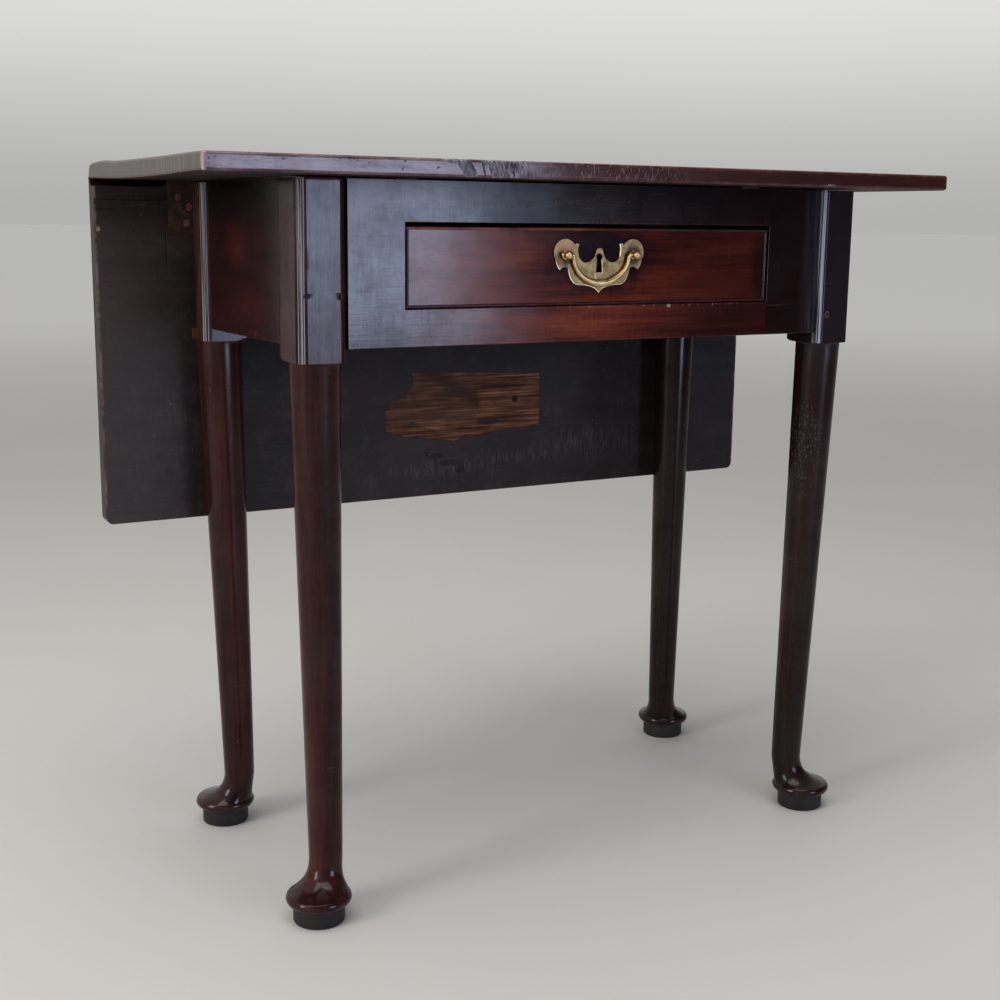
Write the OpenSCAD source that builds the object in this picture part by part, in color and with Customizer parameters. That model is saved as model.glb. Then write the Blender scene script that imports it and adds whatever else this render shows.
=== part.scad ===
// Drop-leaf tea table with one hinged leaf, a gate leg, a frieze drawer and pad feet.
// X runs along the drawer front, +Y points to the leaf side and +Z is up. The origin is on the
// floor, under the middle of the table as it stands with its leaf hanging. Millimetres.

/* [Top and leaf] */
// Height from the floor to the top surface
table_height = 711; // [690:1:740]
// Length of the top and of the leaf
top_length = 824; // [780:1:900]
// Depth of the fixed top, from its front edge to the seam of the leaf
top_depth = 348; // [340:1:380]
// Thickness of the top and of the leaf
top_thickness = 16; // [15:0.5:20]
// Rounding of the top's front and end arrises
edge_round = 3; // [1:0.5:4]
// Rounding of the leaf's free arrises
leaf_edge_round = 2; // [1:0.5:3]
// Overhang of the top past the legs at the front
front_overhang = 34; // [20:1:44]
// Overhang of the top past the legs at each end
end_overhang = 94; // [70:1:104]
// Width of the leaf, from the hinge axis to its free edge
leaf_width = 358; // [300:1:390]
// Rounding of the leaf's two free corners
leaf_corner_round = 9; // [5:1:20]
// Square fillet at the top of the rule joint
rule_fillet = 2; // [1.5:0.25:3]
// Height of the hinge axis above the underside of the top
axis_rise = 3.5; // [3.5:0.25:4.5]
// Gap between the leaf's cove and the top's round
rule_clearance = 0.5; // [0.4:0.1:0.8]
// Gap between the hanging leaf and the back faces of the legs
leaf_leg_gap = 2; // [1:0.5:4]

/* [Frame] */
// Side of the square block at the head of each leg
leg_block = 48; // [46:1:52]
// Height of the square block
block_height = 160; // [156:1:172]
// Dark gap between the underside of the top and the legs and front
shadow_gap = 2; // [1:0.5:3]
// Height of the front, from its lower edge to the head of the legs
front_height = 148.5; // [142:0.5:152]
// Thickness of the front stiles and rails
front_thickness = 20; // [18:1:22]
// Recess of the front behind the legs
front_recess = 3; // [2:0.5:5]
// Height of the side aprons, up to the underside of the top
side_height = 148.5; // [142:0.5:152]
// Thickness of the side aprons
side_thickness = 18; // [16:0.5:20]
// Recess of the side aprons behind the legs
side_recess = 5.3; // [4:0.1:7]
// Width of the stile at the left of the drawer
stile_left_width = 56; // [50:1:66]
// Width of the stile at the right of the drawer
stile_right_width = 68; // [60:1:78]
// Height of the rail above the drawer
top_rail_height = 37; // [34:0.5:42]
// Height of the rail under the drawer
bottom_rail_height = 34; // [30:0.5:38]
// Thickness of the softwood back rail
back_rail_thickness = 20; // [18:1:22]
// Width of the moulding on the legs' corners
mould_width = 7.4; // [6:0.1:8]
// Width of the fillets beside the moulding's round
mould_fillet = 1.4; // [1:0.1:2]
// Height of the turned shoulder under each block
shoulder_height = 7; // [4:0.5:10]

/* [Joints in the wood] */
// Thickness of the tenons
tenon_thickness = 8; // [6:0.5:9]
// Length of the tenons that enter the legs
leg_tenon = 22; // [18:1:23]
// Length of the tenons that enter the front stiles
rail_tenon = 15; // [10:1:20]
// Shoulder above and below each tenon
tenon_shoulder = 8; // [5:0.5:9]
// Clearance round a tenon in its mortise
tenon_clearance = 0.1; // [0.05:0.05:0.2]
// Clearance past the end of a tenon
tenon_end_clearance = 1; // [0.5:0.5:1.5]
// Radius of the pegs that hold the front tenons
peg_radius = 3.5; // [2.5:0.25:4]
// Length of the pegs
peg_length = 27; // [24:1:30]
// Distance of the pegs from the inner face of the block
peg_inset = 14; // [11:0.5:16]
// Height of the lower peg above the lower edge of the front
peg_low = 19; // [16:1:24]
// Height of the upper peg above the lower edge of the front
peg_high = 100; // [80:1:110]

/* [Legs] */
// Radius of the round shaft under the block
shaft_radius = 23.4; // [20:0.2:23.8]
// Radius of the ankle
ankle_radius = 16.25; // [14:0.25:18]
// Height of the ankle, where the foot begins to flare
ankle_height = 57; // [48:1:66]
// Inward lean of the ankle from the middle of the block, in X and in Y
leg_lean = 8.3; // [5:0.1:10]
// Outward reach of the foot's middle from the middle of the block, in X and in Y
foot_reach = 4.4; // [2:0.2:6]
// Largest radius of the pad
pad_radius = 31.6; // [29:0.2:34]
// Rounding of the pad's rim, inward
pad_round = 1.8; // [1:0.2:4]
// Height of the pad's rim
pad_height = 8.4; // [7:0.2:14]
// Radius of the shoe under the pad
shoe_radius = 24.7; // [21:0.1:25.5]
// Height of the shoe
shoe_height = 19.3; // [12:0.1:21]

/* [Gate] */
// Thickness of the fly rail
fly_thickness = 20; // [18:1:22]
// Height of the fly rail
fly_height = 136; // [120:1:138]
// Recess of the fly rail behind the back faces of the legs
fly_recess = 3; // [2:0.5:5]
// Gap between the fly rail and the underside of the top
fly_top_gap = 6; // [4:1:8]
// Place of the fly rail's knuckle along X
knuckle_x = 10; // [-60:1:60]
// Gap between the fingers of the knuckle
knuckle_gap = 0.5; // [0.3:0.1:1]
// Radius of the knuckle pin
knuckle_pin_radius = 3; // [2.5:0.25:4]
// Gap between the swing leg and the end of the side apron
swing_gap = 2.5; // [1.5:0.5:4]
// Rounding of the side apron's free end
apron_end_round = 6; // [3:0.5:6.5]
// Depth of the step from the apron's face to its tongue
tongue_step = 7; // [6.5:0.5:8]
// Gap round the apron's tongue in the rebate of the swing leg
rebate_gap = 1.5; // [1:0.25:2]
// Gap between the swing leg, swinging rail and the fixed back rail
gate_clearance = 0.6; // [0.4:0.1:1]

/* [Drawer] */
// Gap between the drawer and the opening at each side
drawer_side_gap = 1.3; // [0.8:0.1:2]
// Gap above the drawer
drawer_top_gap = 3.6; // [2:0.2:5]
// Gap under the drawer front
drawer_bottom_gap = 0.8; // [0.5:0.1:1.5]
// Recess of the drawer front behind the front of the frame
drawer_recess = 2.5; // [2:0.5:4]
// Thickness of the drawer front
drawer_front_thickness = 20; // [19:0.5:22]
// Thickness of the drawer sides
drawer_side_thickness = 8; // [7:0.5:10]
// Thickness of the drawer back
drawer_back_thickness = 7; // [6:0.5:9]
// Thickness of the drawer bottom
drawer_bottom_thickness = 6; // [5:0.5:7]
// Height of the drawer bottom above the lower edge of the sides
drawer_bottom_rise = 6; // [5:0.5:9]
// Depth of the groove that holds the drawer bottom
groove_depth = 4; // [3:0.5:5]
// Drop of the drawer back below the drawer front
drawer_back_drop = 6; // [4:0.5:9]
// Length of the dovetails
dovetail_length = 10; // [8:0.5:10.5]
// Width of each dovetail at its root
dovetail_width = 17; // [13:0.5:18]
// Spread of each dovetail at its tip, on each side
dovetail_spread = 2; // [1:0.25:2.5]
// Width of the cock bead
bead_width = 2.8; // [2:0.2:3.4]
// Depth of the cock bead's rebate
bead_depth = 8; // [6:0.5:9]
// Projection of the cock bead in front of the drawer front
bead_projection = 1.5; // [1:0.25:2]
// Thickness of the blocks that stop the drawer
stop_thickness = 6; // [4:0.5:9]
// Width of the drawer runners
runner_width = 32; // [26:1:38]
// Height of the drawer runners
runner_height = 20; // [16:1:24]
// Height of the drawer guides
guide_height = 18; // [12:1:24]
// Gap between the drawer sides and the guides
guide_gap = 0.9; // [0.5:0.1:1.5]
// Width of the kickers above the drawer sides
kicker_width = 22; // [18:1:28]

/* [Handle and lock] */
// Distance between the two handle posts
post_spacing = 78; // [74:1:88]
// Height of the posts above the middle of the drawer
handle_rise = 11; // [8:0.5:13]
// Thickness of the backplate
plate_thickness = 1.8; // [1.2:0.1:2.2]
// Radius of the round lobes of the backplate
lobe_radius = 12.7; // [11.5:0.1:13.5]
// Depth of the backplate's pointed tip below the posts
plate_tip = 36.8; // [35:0.2:39]
// Radius of the ball heads of the posts
ball_radius = 4; // [3.6:0.1:4.2]
// Radius of the neck of the posts
neck_radius = 3; // [2.7:0.1:3.2]
// Distance of the ball's middle from the backplate
ball_reach = 6.5; // [6:0.1:7.5]
// Radius of the threaded shank behind each post
shank_radius = 2.4; // [2:0.1:2.6]
// Clearance of the shanks in the drawer front
shank_clearance = 0.15; // [0.05:0.05:0.3]
// Distance of the bail's axis from the backplate
bail_reach = 4.2; // [4:0.1:4.8]
// Radius of the bail's pintles
pintle_radius = 1.5; // [1.3:0.1:1.6]
// Radial clearance of the pintles in the posts
pintle_clearance = 0.08; // [0.04:0.01:0.1]
// Half width of the bail
bail_half_width = 32; // [30:0.2:32.4]
// Drop of the bail's centre line below the posts
bail_drop = 26.8; // [22:0.2:27]
// Radius of the bail at its arms
bail_arm_radius = 1.6; // [1.4:0.1:1.8]
// Radius of the bail at its middle
bail_middle_radius = 2.45; // [2:0.05:2.6]
// Gap between the hanging bail and the backplate
bail_plate_gap = 0.3; // [0.2:0.05:0.5]
// Radius of the round part of the keyhole
keyhole_radius = 3.6; // [3:0.1:4]
// Depth of the keyhole's slot below its round part
keyhole_drop = 14.5; // [12:0.5:16]
// Length of the lock case
lock_length = 64; // [56:1:72]
// Height of the lock case
lock_height = 48; // [44:1:52]
// Depth of the lock case
lock_depth = 12; // [10.5:0.5:12.5]
// Thickness of the lock's plates
lock_plate = 1.3; // [1:0.1:1.6]
// Width of the lock bolt
bolt_width = 26; // [20:1:32]
// Thickness of the lock bolt
bolt_thickness = 4; // [3:0.5:4.5]
// Height of the lock bolt
bolt_height = 21; // [18:0.5:22]
// Travel of the lock bolt
bolt_travel = 9; // [8:0.5:10]
// Clearance of the lock bolt in its slots
bolt_clearance = 0.3; // [0.2:0.05:0.5]

/* [Hinges and fixings] */
// Width of each hinge
hinge_width = 32; // [28:1:40]
// Distance of the outer hinges' middles from the ends of the top
hinge_inset = 92; // [60:1:120]
// Length of the hinge flap on the leaf, from the hinge axis
leaf_flap_length = 58; // [45:1:70]
// Length of the hinge flap under the top, from the hinge axis
top_flap_length = 40; // [34:1:50]
// Thickness of the hinge flaps
flap_thickness = 2.5; // [2:0.1:2.6]
// Radius of the hinge knuckles
hinge_knuckle_radius = 3.4; // [3.1:0.05:3.45]
// Radius of the hinge pins
hinge_pin_radius = 1.5; // [1.2:0.1:1.8]
// Radial clearance of the hinge pins in the leaf's knuckles
hinge_pin_clearance = 0.05; // [0.02:0.01:0.1]
// Gap between the hinge knuckles, and round them
hinge_gap = 0.5; // [0.4:0.05:0.6]
// Radius of the screws' shanks
screw_radius = 1.7; // [1.4:0.1:2]
// Radius of the screws' heads
screw_head_radius = 3.9; // [3.4:0.1:4.2]
// Depth of the screws' countersunk heads
screw_head_depth = 2.4; // [2:0.1:2.5]
// Clearance of the screws in their holes
screw_clearance = 0.05; // [0.02:0.01:0.1]
// Length of the hinge screws
hinge_screw_length = 12; // [10:0.5:12.5]
// Bite of the long screws in the top
top_screw_bite = 10; // [8:0.5:12]
// Length of the glue blocks
glue_block_length = 60; // [40:1:70]
// Side of the glue blocks
glue_block_side = 18; // [14:1:20]

/* [Hidden] */
$fn = 48;
// Small overlap that makes cuts run clear through a face
over = 1;

under_z = table_height - top_thickness;
rule_radius = top_thickness - rule_fillet - axis_rise;
total_depth = top_depth + rule_radius + rule_fillet;
front_y = -total_depth / 2;
rule_y = front_y + top_depth;
axis_z = under_z + axis_rise;
leaf_inner_y = rule_y - axis_rise;
leaf_outer_y = rule_y + rule_radius + rule_fillet;

frame_length = top_length - 2 * end_overhang;
frame_x = frame_length / 2;
frame_y0 = front_y + front_overhang;
back_y = leaf_inner_y - leaf_leg_gap;
half_block = leg_block / 2;
block_top = under_z - shadow_gap;
block_z = block_top - block_height;
mould_round = mould_width - mould_fillet;
inner_x = frame_x - leg_block;

face_y = frame_y0 + front_recess;
front_back_y = face_y + front_thickness;
front_z = block_top - front_height;
open_x0 = -inner_x + stile_left_width;
open_x1 = inner_x - stile_right_width;
open_z0 = front_z + bottom_rail_height;
open_z1 = block_top - top_rail_height;
side_z = under_z - side_height;
side_outer_x = frame_x - side_recess;
side_inner_x = side_outer_x - side_thickness;

fly_outer_y = back_y - fly_recess;
fly_inner_y = fly_outer_y - fly_thickness;
fly_mid_y = (fly_outer_y + fly_inner_y) / 2;
fly_z1 = under_z - fly_top_gap;
fly_z0 = fly_z1 - fly_height;
finger_count = 5;
finger_height = fly_height / finger_count;
back_rail_outer_y = fly_inner_y;
back_rail_inner_y = fly_inner_y - back_rail_thickness;
back_rail_z = side_z;
apron_end_y = back_y - leg_block - swing_gap;
tongue_x = side_outer_x - tongue_step;
rebate_x = tongue_x + rebate_gap;

drawer_x0 = open_x0 + drawer_side_gap;
drawer_x1 = open_x1 - drawer_side_gap;
drawer_mid_x = (drawer_x0 + drawer_x1) / 2;
drawer_z0 = open_z0 + drawer_bottom_gap;
drawer_z1 = open_z1 - drawer_top_gap;
drawer_face_y = face_y + drawer_recess;
drawer_front_back_y = drawer_face_y + drawer_front_thickness;
drawer_back_y = back_rail_inner_y - stop_thickness;
drawer_side_z1 = drawer_z1 - 1.5;
dovetail_pitch = (drawer_side_z1 - drawer_z0) / 2;
drawer_floor_z = open_z0 + drawer_bottom_rise;
drawer_floor_top = drawer_floor_z + drawer_bottom_thickness;

handle_z = (drawer_z0 + drawer_z1) / 2 + handle_rise;
post_x = post_spacing / 2;
plate_face_y = drawer_face_y - plate_thickness;
bail_axis_y = plate_face_y - bail_reach;
key_z = handle_z - 2;
nut_side = 10;
nut_height = 3;

lock_y0 = drawer_front_back_y - lock_depth;
lock_z0 = drawer_z1 - lock_height;
bolt_y0 = lock_y0 + lock_plate + bolt_clearance;
bolt_z1 = drawer_z1 - bolt_clearance;
bolt_mortise = bolt_travel - drawer_top_gap + 1.5;

hinge_x = top_length / 2 - hinge_inset;
hinge_places = [-hinge_x, 0, hinge_x];
knuckle_third = (hinge_width - 2 * hinge_gap) / 3;
knuckle_bore_round = hinge_knuckle_radius + hinge_gap;
flap_y0 = -axis_rise;
flap_y1 = -axis_rise + flap_thickness;

mahogany = [0.24, 0.09, 0.07];
dark_mahogany = [0.15, 0.07, 0.06];
red_mahogany = [0.34, 0.12, 0.08];
oak = [0.62, 0.45, 0.28];
pine = [0.72, 0.56, 0.36];
iron = [0.25, 0.22, 0.2];
brass = [0.72, 0.56, 0.27];

// General shapes

// Box between two opposite corners
module box(low, high) {
    translate(low) cube(high - low);
}

// Extrudes a (Y, Z) outline along X, centred on X = 0
module along_x(length) {
    rotate([90, 0, 90]) linear_extrude(length, center = true) children();
}

// Extrudes an (X, Z) outline along Y, from y0 to y1
module along_y(y0, y1) {
    translate([0, y1, 0]) rotate([90, 0, 0]) linear_extrude(y1 - y0) children();
}

// Rectangle with all four corners rounded
module eased_rect(low, high, r) {
    translate([low.x + r, low.y]) square([high.x - low.x - 2 * r, high.y - low.y]);
    translate([low.x, low.y + r]) square([high.x - low.x, high.y - low.y - 2 * r]);
    for (u = [low.x + r, high.x - r], v = [low.y + r, high.y - r]) {
        translate([u, v]) circle(r);
    }
}

// Wood screw with its head's face at the origin, pointing to -Z; grow > 0 makes its hole
module wood_screw(length, grow = 0) {
    difference() {
        union() {
            translate([0, 0, -screw_head_depth])
                cylinder(h = screw_head_depth, r1 = screw_radius + grow, r2 = screw_head_radius + grow);
            translate([0, 0, -length - grow])
                cylinder(h = length + grow - screw_head_depth / 2, r = screw_radius + grow);
        }
        if (grow == 0) {
            box([-screw_head_radius - over, -0.45, -0.9], [screw_head_radius + over, 0.45, over]);
        }
    }
}

// Turns a local leg frame, with +X and +Y pointing out of the table, to one corner
module at_corner(sx, sy) {
    centre_y = sy < 0 ? frame_y0 + half_block : back_y - half_block;
    translate([sx * (frame_x - half_block), centre_y, 0])
        mirror([sx < 0 ? 1 : 0, 0, 0])
            mirror([0, sy < 0 ? 1 : 0, 0])
                children();
}

// Points of an arc, and of a curve with one handle
function arc(c, r, a0, a1, n = 12) =
    [for (i = [0:n]) let (a = a0 + (a1 - a0) * i / n) c + r * [cos(a), sin(a)]];
function curve(p, q, r, n = 8) =
    [for (i = [0:n]) let (t = i / n) (1 - t) * (1 - t) * p + 2 * t * (1 - t) * q + t * t * r];

// Top and leaf

module top_profile() {
    difference() {
        eased_rect([front_y, under_z], [rule_y + 4 * edge_round, table_height], edge_round);
        translate([rule_y, under_z - over])
            square([5 * edge_round, top_thickness + 2 * over]);
    }
    intersection() {
        translate([rule_y, axis_z]) circle(rule_radius, $fn = 96);
        translate([rule_y - over, under_z]) square([rule_radius + 2 * over, rule_radius + axis_rise]);
    }
}

module top_board() {
    color(mahogany) difference() {
        intersection() {
            along_x(top_length) top_profile();
            along_y(front_y - over, leaf_outer_y + over)
                eased_rect([-top_length / 2, under_z], [top_length / 2, table_height], edge_round);
        }
        for (x = hinge_places) {
            translate([x, rule_y, axis_z]) top_hinge_recess();
            translate([x, rule_y, under_z]) hinge_top_screw_places()
                wood_screw(hinge_screw_length, screw_clearance);
        }
        top_screw_places() wood_screw(top_screw_length, screw_clearance);
    }
}

// Room for a hinge in the underside of the top, about the hinge axis
module top_hinge_recess() {
    half = hinge_width / 2 + tenon_clearance;
    box([-half, -top_flap_length - tenon_clearance, -axis_rise - over],
        [half, 0, flap_y1 + tenon_clearance]);
    along_x(2 * half) circle(knuckle_bore_round);
    box([-half, 0, -axis_rise - over], [half, rule_radius + over, flap_y1 + hinge_gap]);
}

module leaf_profile() {
    difference() {
        eased_rect([leaf_inner_y, axis_z - leaf_width], [leaf_outer_y, axis_z + 2 * over + leaf_edge_round],
            leaf_edge_round);
        translate([leaf_inner_y - over, axis_z - rule_clearance])
            square([top_thickness + 2 * over, 4 * over + 2 * leaf_edge_round]);
        translate([rule_y, axis_z]) circle(rule_radius + rule_clearance, $fn = 96);
    }
}

module drop_leaf() {
    low = axis_z - leaf_width;
    r = leaf_corner_round;
    color(dark_mahogany) difference() {
        intersection() {
            along_x(top_length) leaf_profile();
            along_y(leaf_inner_y - over, leaf_outer_y + over) union() {
                translate([-top_length / 2, low + r]) square([top_length, leaf_width]);
                translate([-top_length / 2 + r, low]) square([top_length - 2 * r, leaf_width]);
                for (s = [-1, 1]) translate([s * (top_length / 2 - r), low + r]) circle(r);
            }
        }
        for (x = hinge_places) translate([x, rule_y, axis_z]) {
            box([-hinge_width / 2 - tenon_clearance, flap_y0 - over, -leaf_flap_length - tenon_clearance],
                [hinge_width / 2 + tenon_clearance, flap_y1 + tenon_clearance, 0]);
            hinge_leaf_screw_places() wood_screw(hinge_screw_length, screw_clearance);
        }
    }
}

// Hinges, about an axis along X at the origin

// One plain knuckle of a hinge, from x0 to x1, with the pin's bore
module hinge_knuckle(x0, x1, bore) {
    difference() {
        translate([x0, 0, 0]) rotate([0, 90, 0]) cylinder(h = x1 - x0, r = hinge_knuckle_radius);
        translate([x0 - over, 0, 0]) rotate([0, 90, 0]) cylinder(h = x1 - x0 + 2 * over, r = bore);
    }
}

module hinge_top_flap() {
    difference() {
        union() {
            box([-hinge_width / 2, -top_flap_length, flap_y0], [hinge_width / 2, -knuckle_bore_round, flap_y1]);
            box([-knuckle_third / 2, -knuckle_bore_round - over, flap_y0], [knuckle_third / 2, 0, flap_y1]);
            hinge_knuckle(-knuckle_third / 2, knuckle_third / 2, hinge_pin_radius);
        }
        translate([-hinge_width, 0, 0]) rotate([0, 90, 0]) cylinder(h = 2 * hinge_width, r = hinge_pin_radius);
        translate([0, 0, -axis_rise]) hinge_top_screw_places() wood_screw(hinge_screw_length, screw_clearance);
    }
}

module hinge_leaf_flap() {
    bore = hinge_pin_radius + hinge_pin_clearance;
    difference() {
        union() {
            box([-hinge_width / 2, flap_y0, -leaf_flap_length],
                [hinge_width / 2, flap_y1, -knuckle_bore_round]);
            for (s = [-1, 1]) {
                x0 = s < 0 ? -hinge_width / 2 : hinge_width / 2 - knuckle_third;
                box([x0, flap_y0, -knuckle_bore_round - over], [x0 + knuckle_third, flap_y1, 0]);
                hinge_knuckle(x0, x0 + knuckle_third, bore);
            }
        }
        translate([-hinge_width, 0, 0]) rotate([0, 90, 0]) cylinder(h = 2 * hinge_width, r = bore);
        hinge_leaf_screw_places() wood_screw(hinge_screw_length, screw_clearance);
    }
}

// Three screws up through the top's flap, heads flush with the underside
module hinge_top_screw_places() {
    for (p = [[-hinge_width / 4, 0.35], [hinge_width / 4, 0.35], [0, 0.75]]) {
        translate([p.x, -top_flap_length * p.y, 0]) rotate([180, 0, 0]) children();
    }
}

// Three screws into the leaf, heads flush with its inner face
module hinge_leaf_screw_places() {
    for (p = [[-hinge_width / 6, 0.35], [hinge_width / 5, 0.52], [hinge_width / 10, 0.8]]) {
        translate([p.x, flap_y0, -leaf_flap_length * p.y]) rotate([90, 0, 0]) children();
    }
}

module hinge_top_flaps() {
    color(iron) for (x = hinge_places) translate([x, rule_y, axis_z]) hinge_top_flap();
}

module hinge_leaf_flaps() {
    color(iron) for (x = hinge_places) translate([x, rule_y, axis_z]) hinge_leaf_flap();
}

module hinge_pins() {
    color(iron) for (x = hinge_places) translate([x - hinge_width / 2, rule_y, axis_z])
        rotate([0, 90, 0]) cylinder(h = hinge_width, r = hinge_pin_radius);
}

module hinge_top_screws() {
    color(iron) for (x = hinge_places) translate([x, rule_y, under_z])
        hinge_top_screw_places() wood_screw(hinge_screw_length);
}

module hinge_leaf_screws() {
    color(iron) for (x = hinge_places) translate([x, rule_y, axis_z])
        hinge_leaf_screw_places() wood_screw(hinge_screw_length);
}

// Legs, in the local frame of at_corner

leg_sides = 32;
diagonal = sqrt(2);
pad_z1 = shoe_height + pad_height;
pad_mid = shoe_height + pad_height / 2;
rim_radius = pad_radius - pad_round;
foot_throw = (leg_lean + foot_reach) * diagonal;

// Ring [offset of its centre in X and in Y, height, radius] of the shaft, flare and rim
function shaft_ring(z) =
    let (t = (z - ankle_height) / (block_z - ankle_height))
    [-leg_lean * (1 - t), z, ankle_radius + (shaft_radius - ankle_radius) * t];
function flare_ring(t) =
    let (flare = 0.31 * pow(t, 1.5) + 0.69 * pow(t, 4.4),
         outer = ankle_radius + (foot_throw + rim_radius - ankle_radius) * flare,
         inner = -ankle_radius + (foot_throw - rim_radius + ankle_radius) * t)
    [-leg_lean + (outer + inner) / 2 / diagonal, ankle_height - (ankle_height - pad_z1) * t,
     (outer - inner) / 2];
function rim_ring(t) = [foot_reach, pad_mid - pad_height / 2 * t, pad_radius - pad_round * t * t];

leg_rings = concat(
    [for (t = [1, 0.65, 0.3, 0, -0.3, -0.65, -1]) rim_ring(t)],
    [for (t = [0.97, 0.93, 0.88, 0.81, 0.72, 0.6, 0.42, 0.2]) flare_ring(t)],
    [for (t = [0:5]) shaft_ring(ankle_height + (block_z + 2 - ankle_height) * t / 5)]);

// Skin round a stack of rings that share one number of sides
module loft(rings, sides) {
    count = len(rings);
    points = [for (g = rings, i = [0:sides - 1])
        [g[0] + g[2] * cos(360 * i / sides), g[0] + g[2] * sin(360 * i / sides), g[1]]];
    walls = [for (k = [0:count - 2], i = [0:sides - 1])
        let (a = k * sides + i, b = k * sides + (i + 1) % sides) [a, a + sides, b + sides, b]];
    polyhedron(points, concat(
        [[for (i = [0:sides - 1]) i]],
        walls,
        [[for (i = [sides - 1:-1:0]) (count - 1) * sides + i]]));
}

// Square block with moulded corners, each [sign of x, sign of y], and a turned shoulder
module leg_head(corners) {
    reach = half_block * diagonal + over;
    intersection() {
        union() {
            difference() {
                box([-half_block, -half_block, block_z], [half_block, half_block, block_top]);
                for (c = corners) {
                    translate([c.x * half_block, c.y * half_block, block_z + block_height / 2])
                        cube([2 * mould_width, 2 * mould_width, block_height + 2 * over], center = true);
                }
            }
            for (c = corners) {
                translate([c.x * (half_block - mould_width), c.y * (half_block - mould_width), block_z])
                    cylinder(h = block_height, r = mould_round);
            }
        }
        rotate_extrude($fn = 96) {
            translate([0, block_z]) square([reach - shoulder_height, block_height + over]);
            translate([0, block_z + shoulder_height]) square([reach, block_height - shoulder_height + over]);
            translate([reach - shoulder_height, block_z + shoulder_height]) circle(shoulder_height);
        }
    }
}

module whole_leg(corners) {
    leg_head(corners);
    translate([foot_reach, foot_reach, 0]) cylinder(h = shoe_height + over, r = shoe_radius);
    loft(leg_rings, leg_sides);
}

// Mortise in the inner X face; mid is the tenon's middle, measured in from the outer Y face
module mortise_x(mid, z0, z1, depth) {
    box([-half_block - over, half_block - mid - tenon_thickness / 2 - tenon_clearance, z0 - tenon_clearance],
        [-half_block + depth + tenon_end_clearance, half_block - mid + tenon_thickness / 2 + tenon_clearance,
         z1 + tenon_clearance]);
}

// Mortise in the inner Y face; mid is the tenon's middle, measured in from the outer X face
module mortise_y(mid, z0, z1, depth) {
    box([half_block - mid - tenon_thickness / 2 - tenon_clearance, -half_block - over, z0 - tenon_clearance],
        [half_block - mid + tenon_thickness / 2 + tenon_clearance, -half_block + depth + tenon_end_clearance,
         z1 + tenon_clearance]);
}

front_tenon_mid = front_recess + front_thickness / 2;
side_tenon_mid = side_recess + side_thickness / 2;
fly_tenon_mid = fly_recess + fly_thickness / 2;
back_tenon_mid = fly_recess + fly_thickness + back_rail_thickness / 2;
front_tenon_z0 = front_z + tenon_shoulder;
front_tenon_z1 = block_top - tenon_shoulder;
side_tenon_z0 = side_z + tenon_shoulder;
side_tenon_z1 = block_top - tenon_shoulder;
fly_tenon_z0 = fly_z0 + tenon_shoulder;
fly_tenon_z1 = fly_z1 - tenon_shoulder;

module front_leg() {
    difference() {
        whole_leg([[1, 1], [-1, 1]]);
        mortise_x(front_tenon_mid, front_tenon_z0, front_tenon_z1, leg_tenon);
        mortise_y(side_tenon_mid, side_tenon_z0, side_tenon_z1, leg_tenon);
        peg_places() cylinder(h = peg_length + tenon_end_clearance, r = peg_radius + tenon_clearance / 2);
    }
}

// Pegs run in from the front face of a front leg
module peg_places() {
    for (z = [front_z + peg_low, front_z + peg_high]) {
        translate([-half_block + peg_inset, half_block, z]) rotate([90, 0, 0]) children();
    }
}

module leg_front_left() {
    color(mahogany) at_corner(-1, -1) front_leg();
}

module leg_front_right() {
    color(mahogany) at_corner(1, -1) front_leg();
}

module leg_back_right() {
    color(mahogany) at_corner(1, 1) difference() {
        whole_leg([[1, -1], [1, 1]]);
        mortise_y(side_tenon_mid, side_tenon_z0, side_tenon_z1, leg_tenon);
        mortise_x(back_tenon_mid, side_tenon_z0, side_tenon_z1, leg_tenon);
        mortise_x(fly_tenon_mid, fly_tenon_z0, fly_tenon_z1, leg_tenon);
    }
}

module swing_leg() {
    color(mahogany) at_corner(-1, 1) difference() {
        whole_leg([[1, -1], [1, 1]]);
        mortise_x(fly_tenon_mid, fly_tenon_z0, fly_tenon_z1, leg_tenon);
        box([-half_block - over, -half_block - over, side_z - rebate_gap],
            [half_block - (frame_x - rebate_x), half_block - fly_recess - fly_thickness + gate_clearance,
             block_top + over]);
    }
}

module tenon_pegs() {
    color(dark_mahogany) for (s = [-1, 1]) at_corner(s, -1) peg_places()
        cylinder(h = peg_length, r = peg_radius);
}

// Front of the frame

module front_tenon(x0, x1, z0, z1) {
    mid = face_y + front_thickness / 2;
    box([x0, mid - tenon_thickness / 2, z0], [x1, mid + tenon_thickness / 2, z1]);
}

// Room for a rail's tenon in a stile, from x0 to x1
module front_mortise(x0, x1, z0, z1) {
    mid = face_y + front_thickness / 2;
    half = tenon_thickness / 2 + tenon_clearance;
    box([x0, mid - half, z0 - tenon_clearance], [x1, mid + half, z1 + tenon_clearance]);
}

top_rail_tenon = [open_z1 + tenon_shoulder / 2, block_top - tenon_shoulder];
bottom_rail_tenon = [front_z + tenon_shoulder / 2, open_z0 - tenon_shoulder];

module front_stile_left() {
    color(mahogany) difference() {
        union() {
            box([-inner_x, face_y, front_z], [open_x0, front_back_y, block_top]);
            front_tenon(-inner_x - leg_tenon, -inner_x, front_tenon_z0, front_tenon_z1);
        }
        for (t = [top_rail_tenon, bottom_rail_tenon]) {
            front_mortise(open_x0 - rail_tenon - tenon_end_clearance, open_x0 + over, t[0], t[1]);
        }
        at_corner(-1, -1) peg_places() cylinder(h = peg_length + over, r = peg_radius + tenon_clearance / 2);
    }
}

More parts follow.
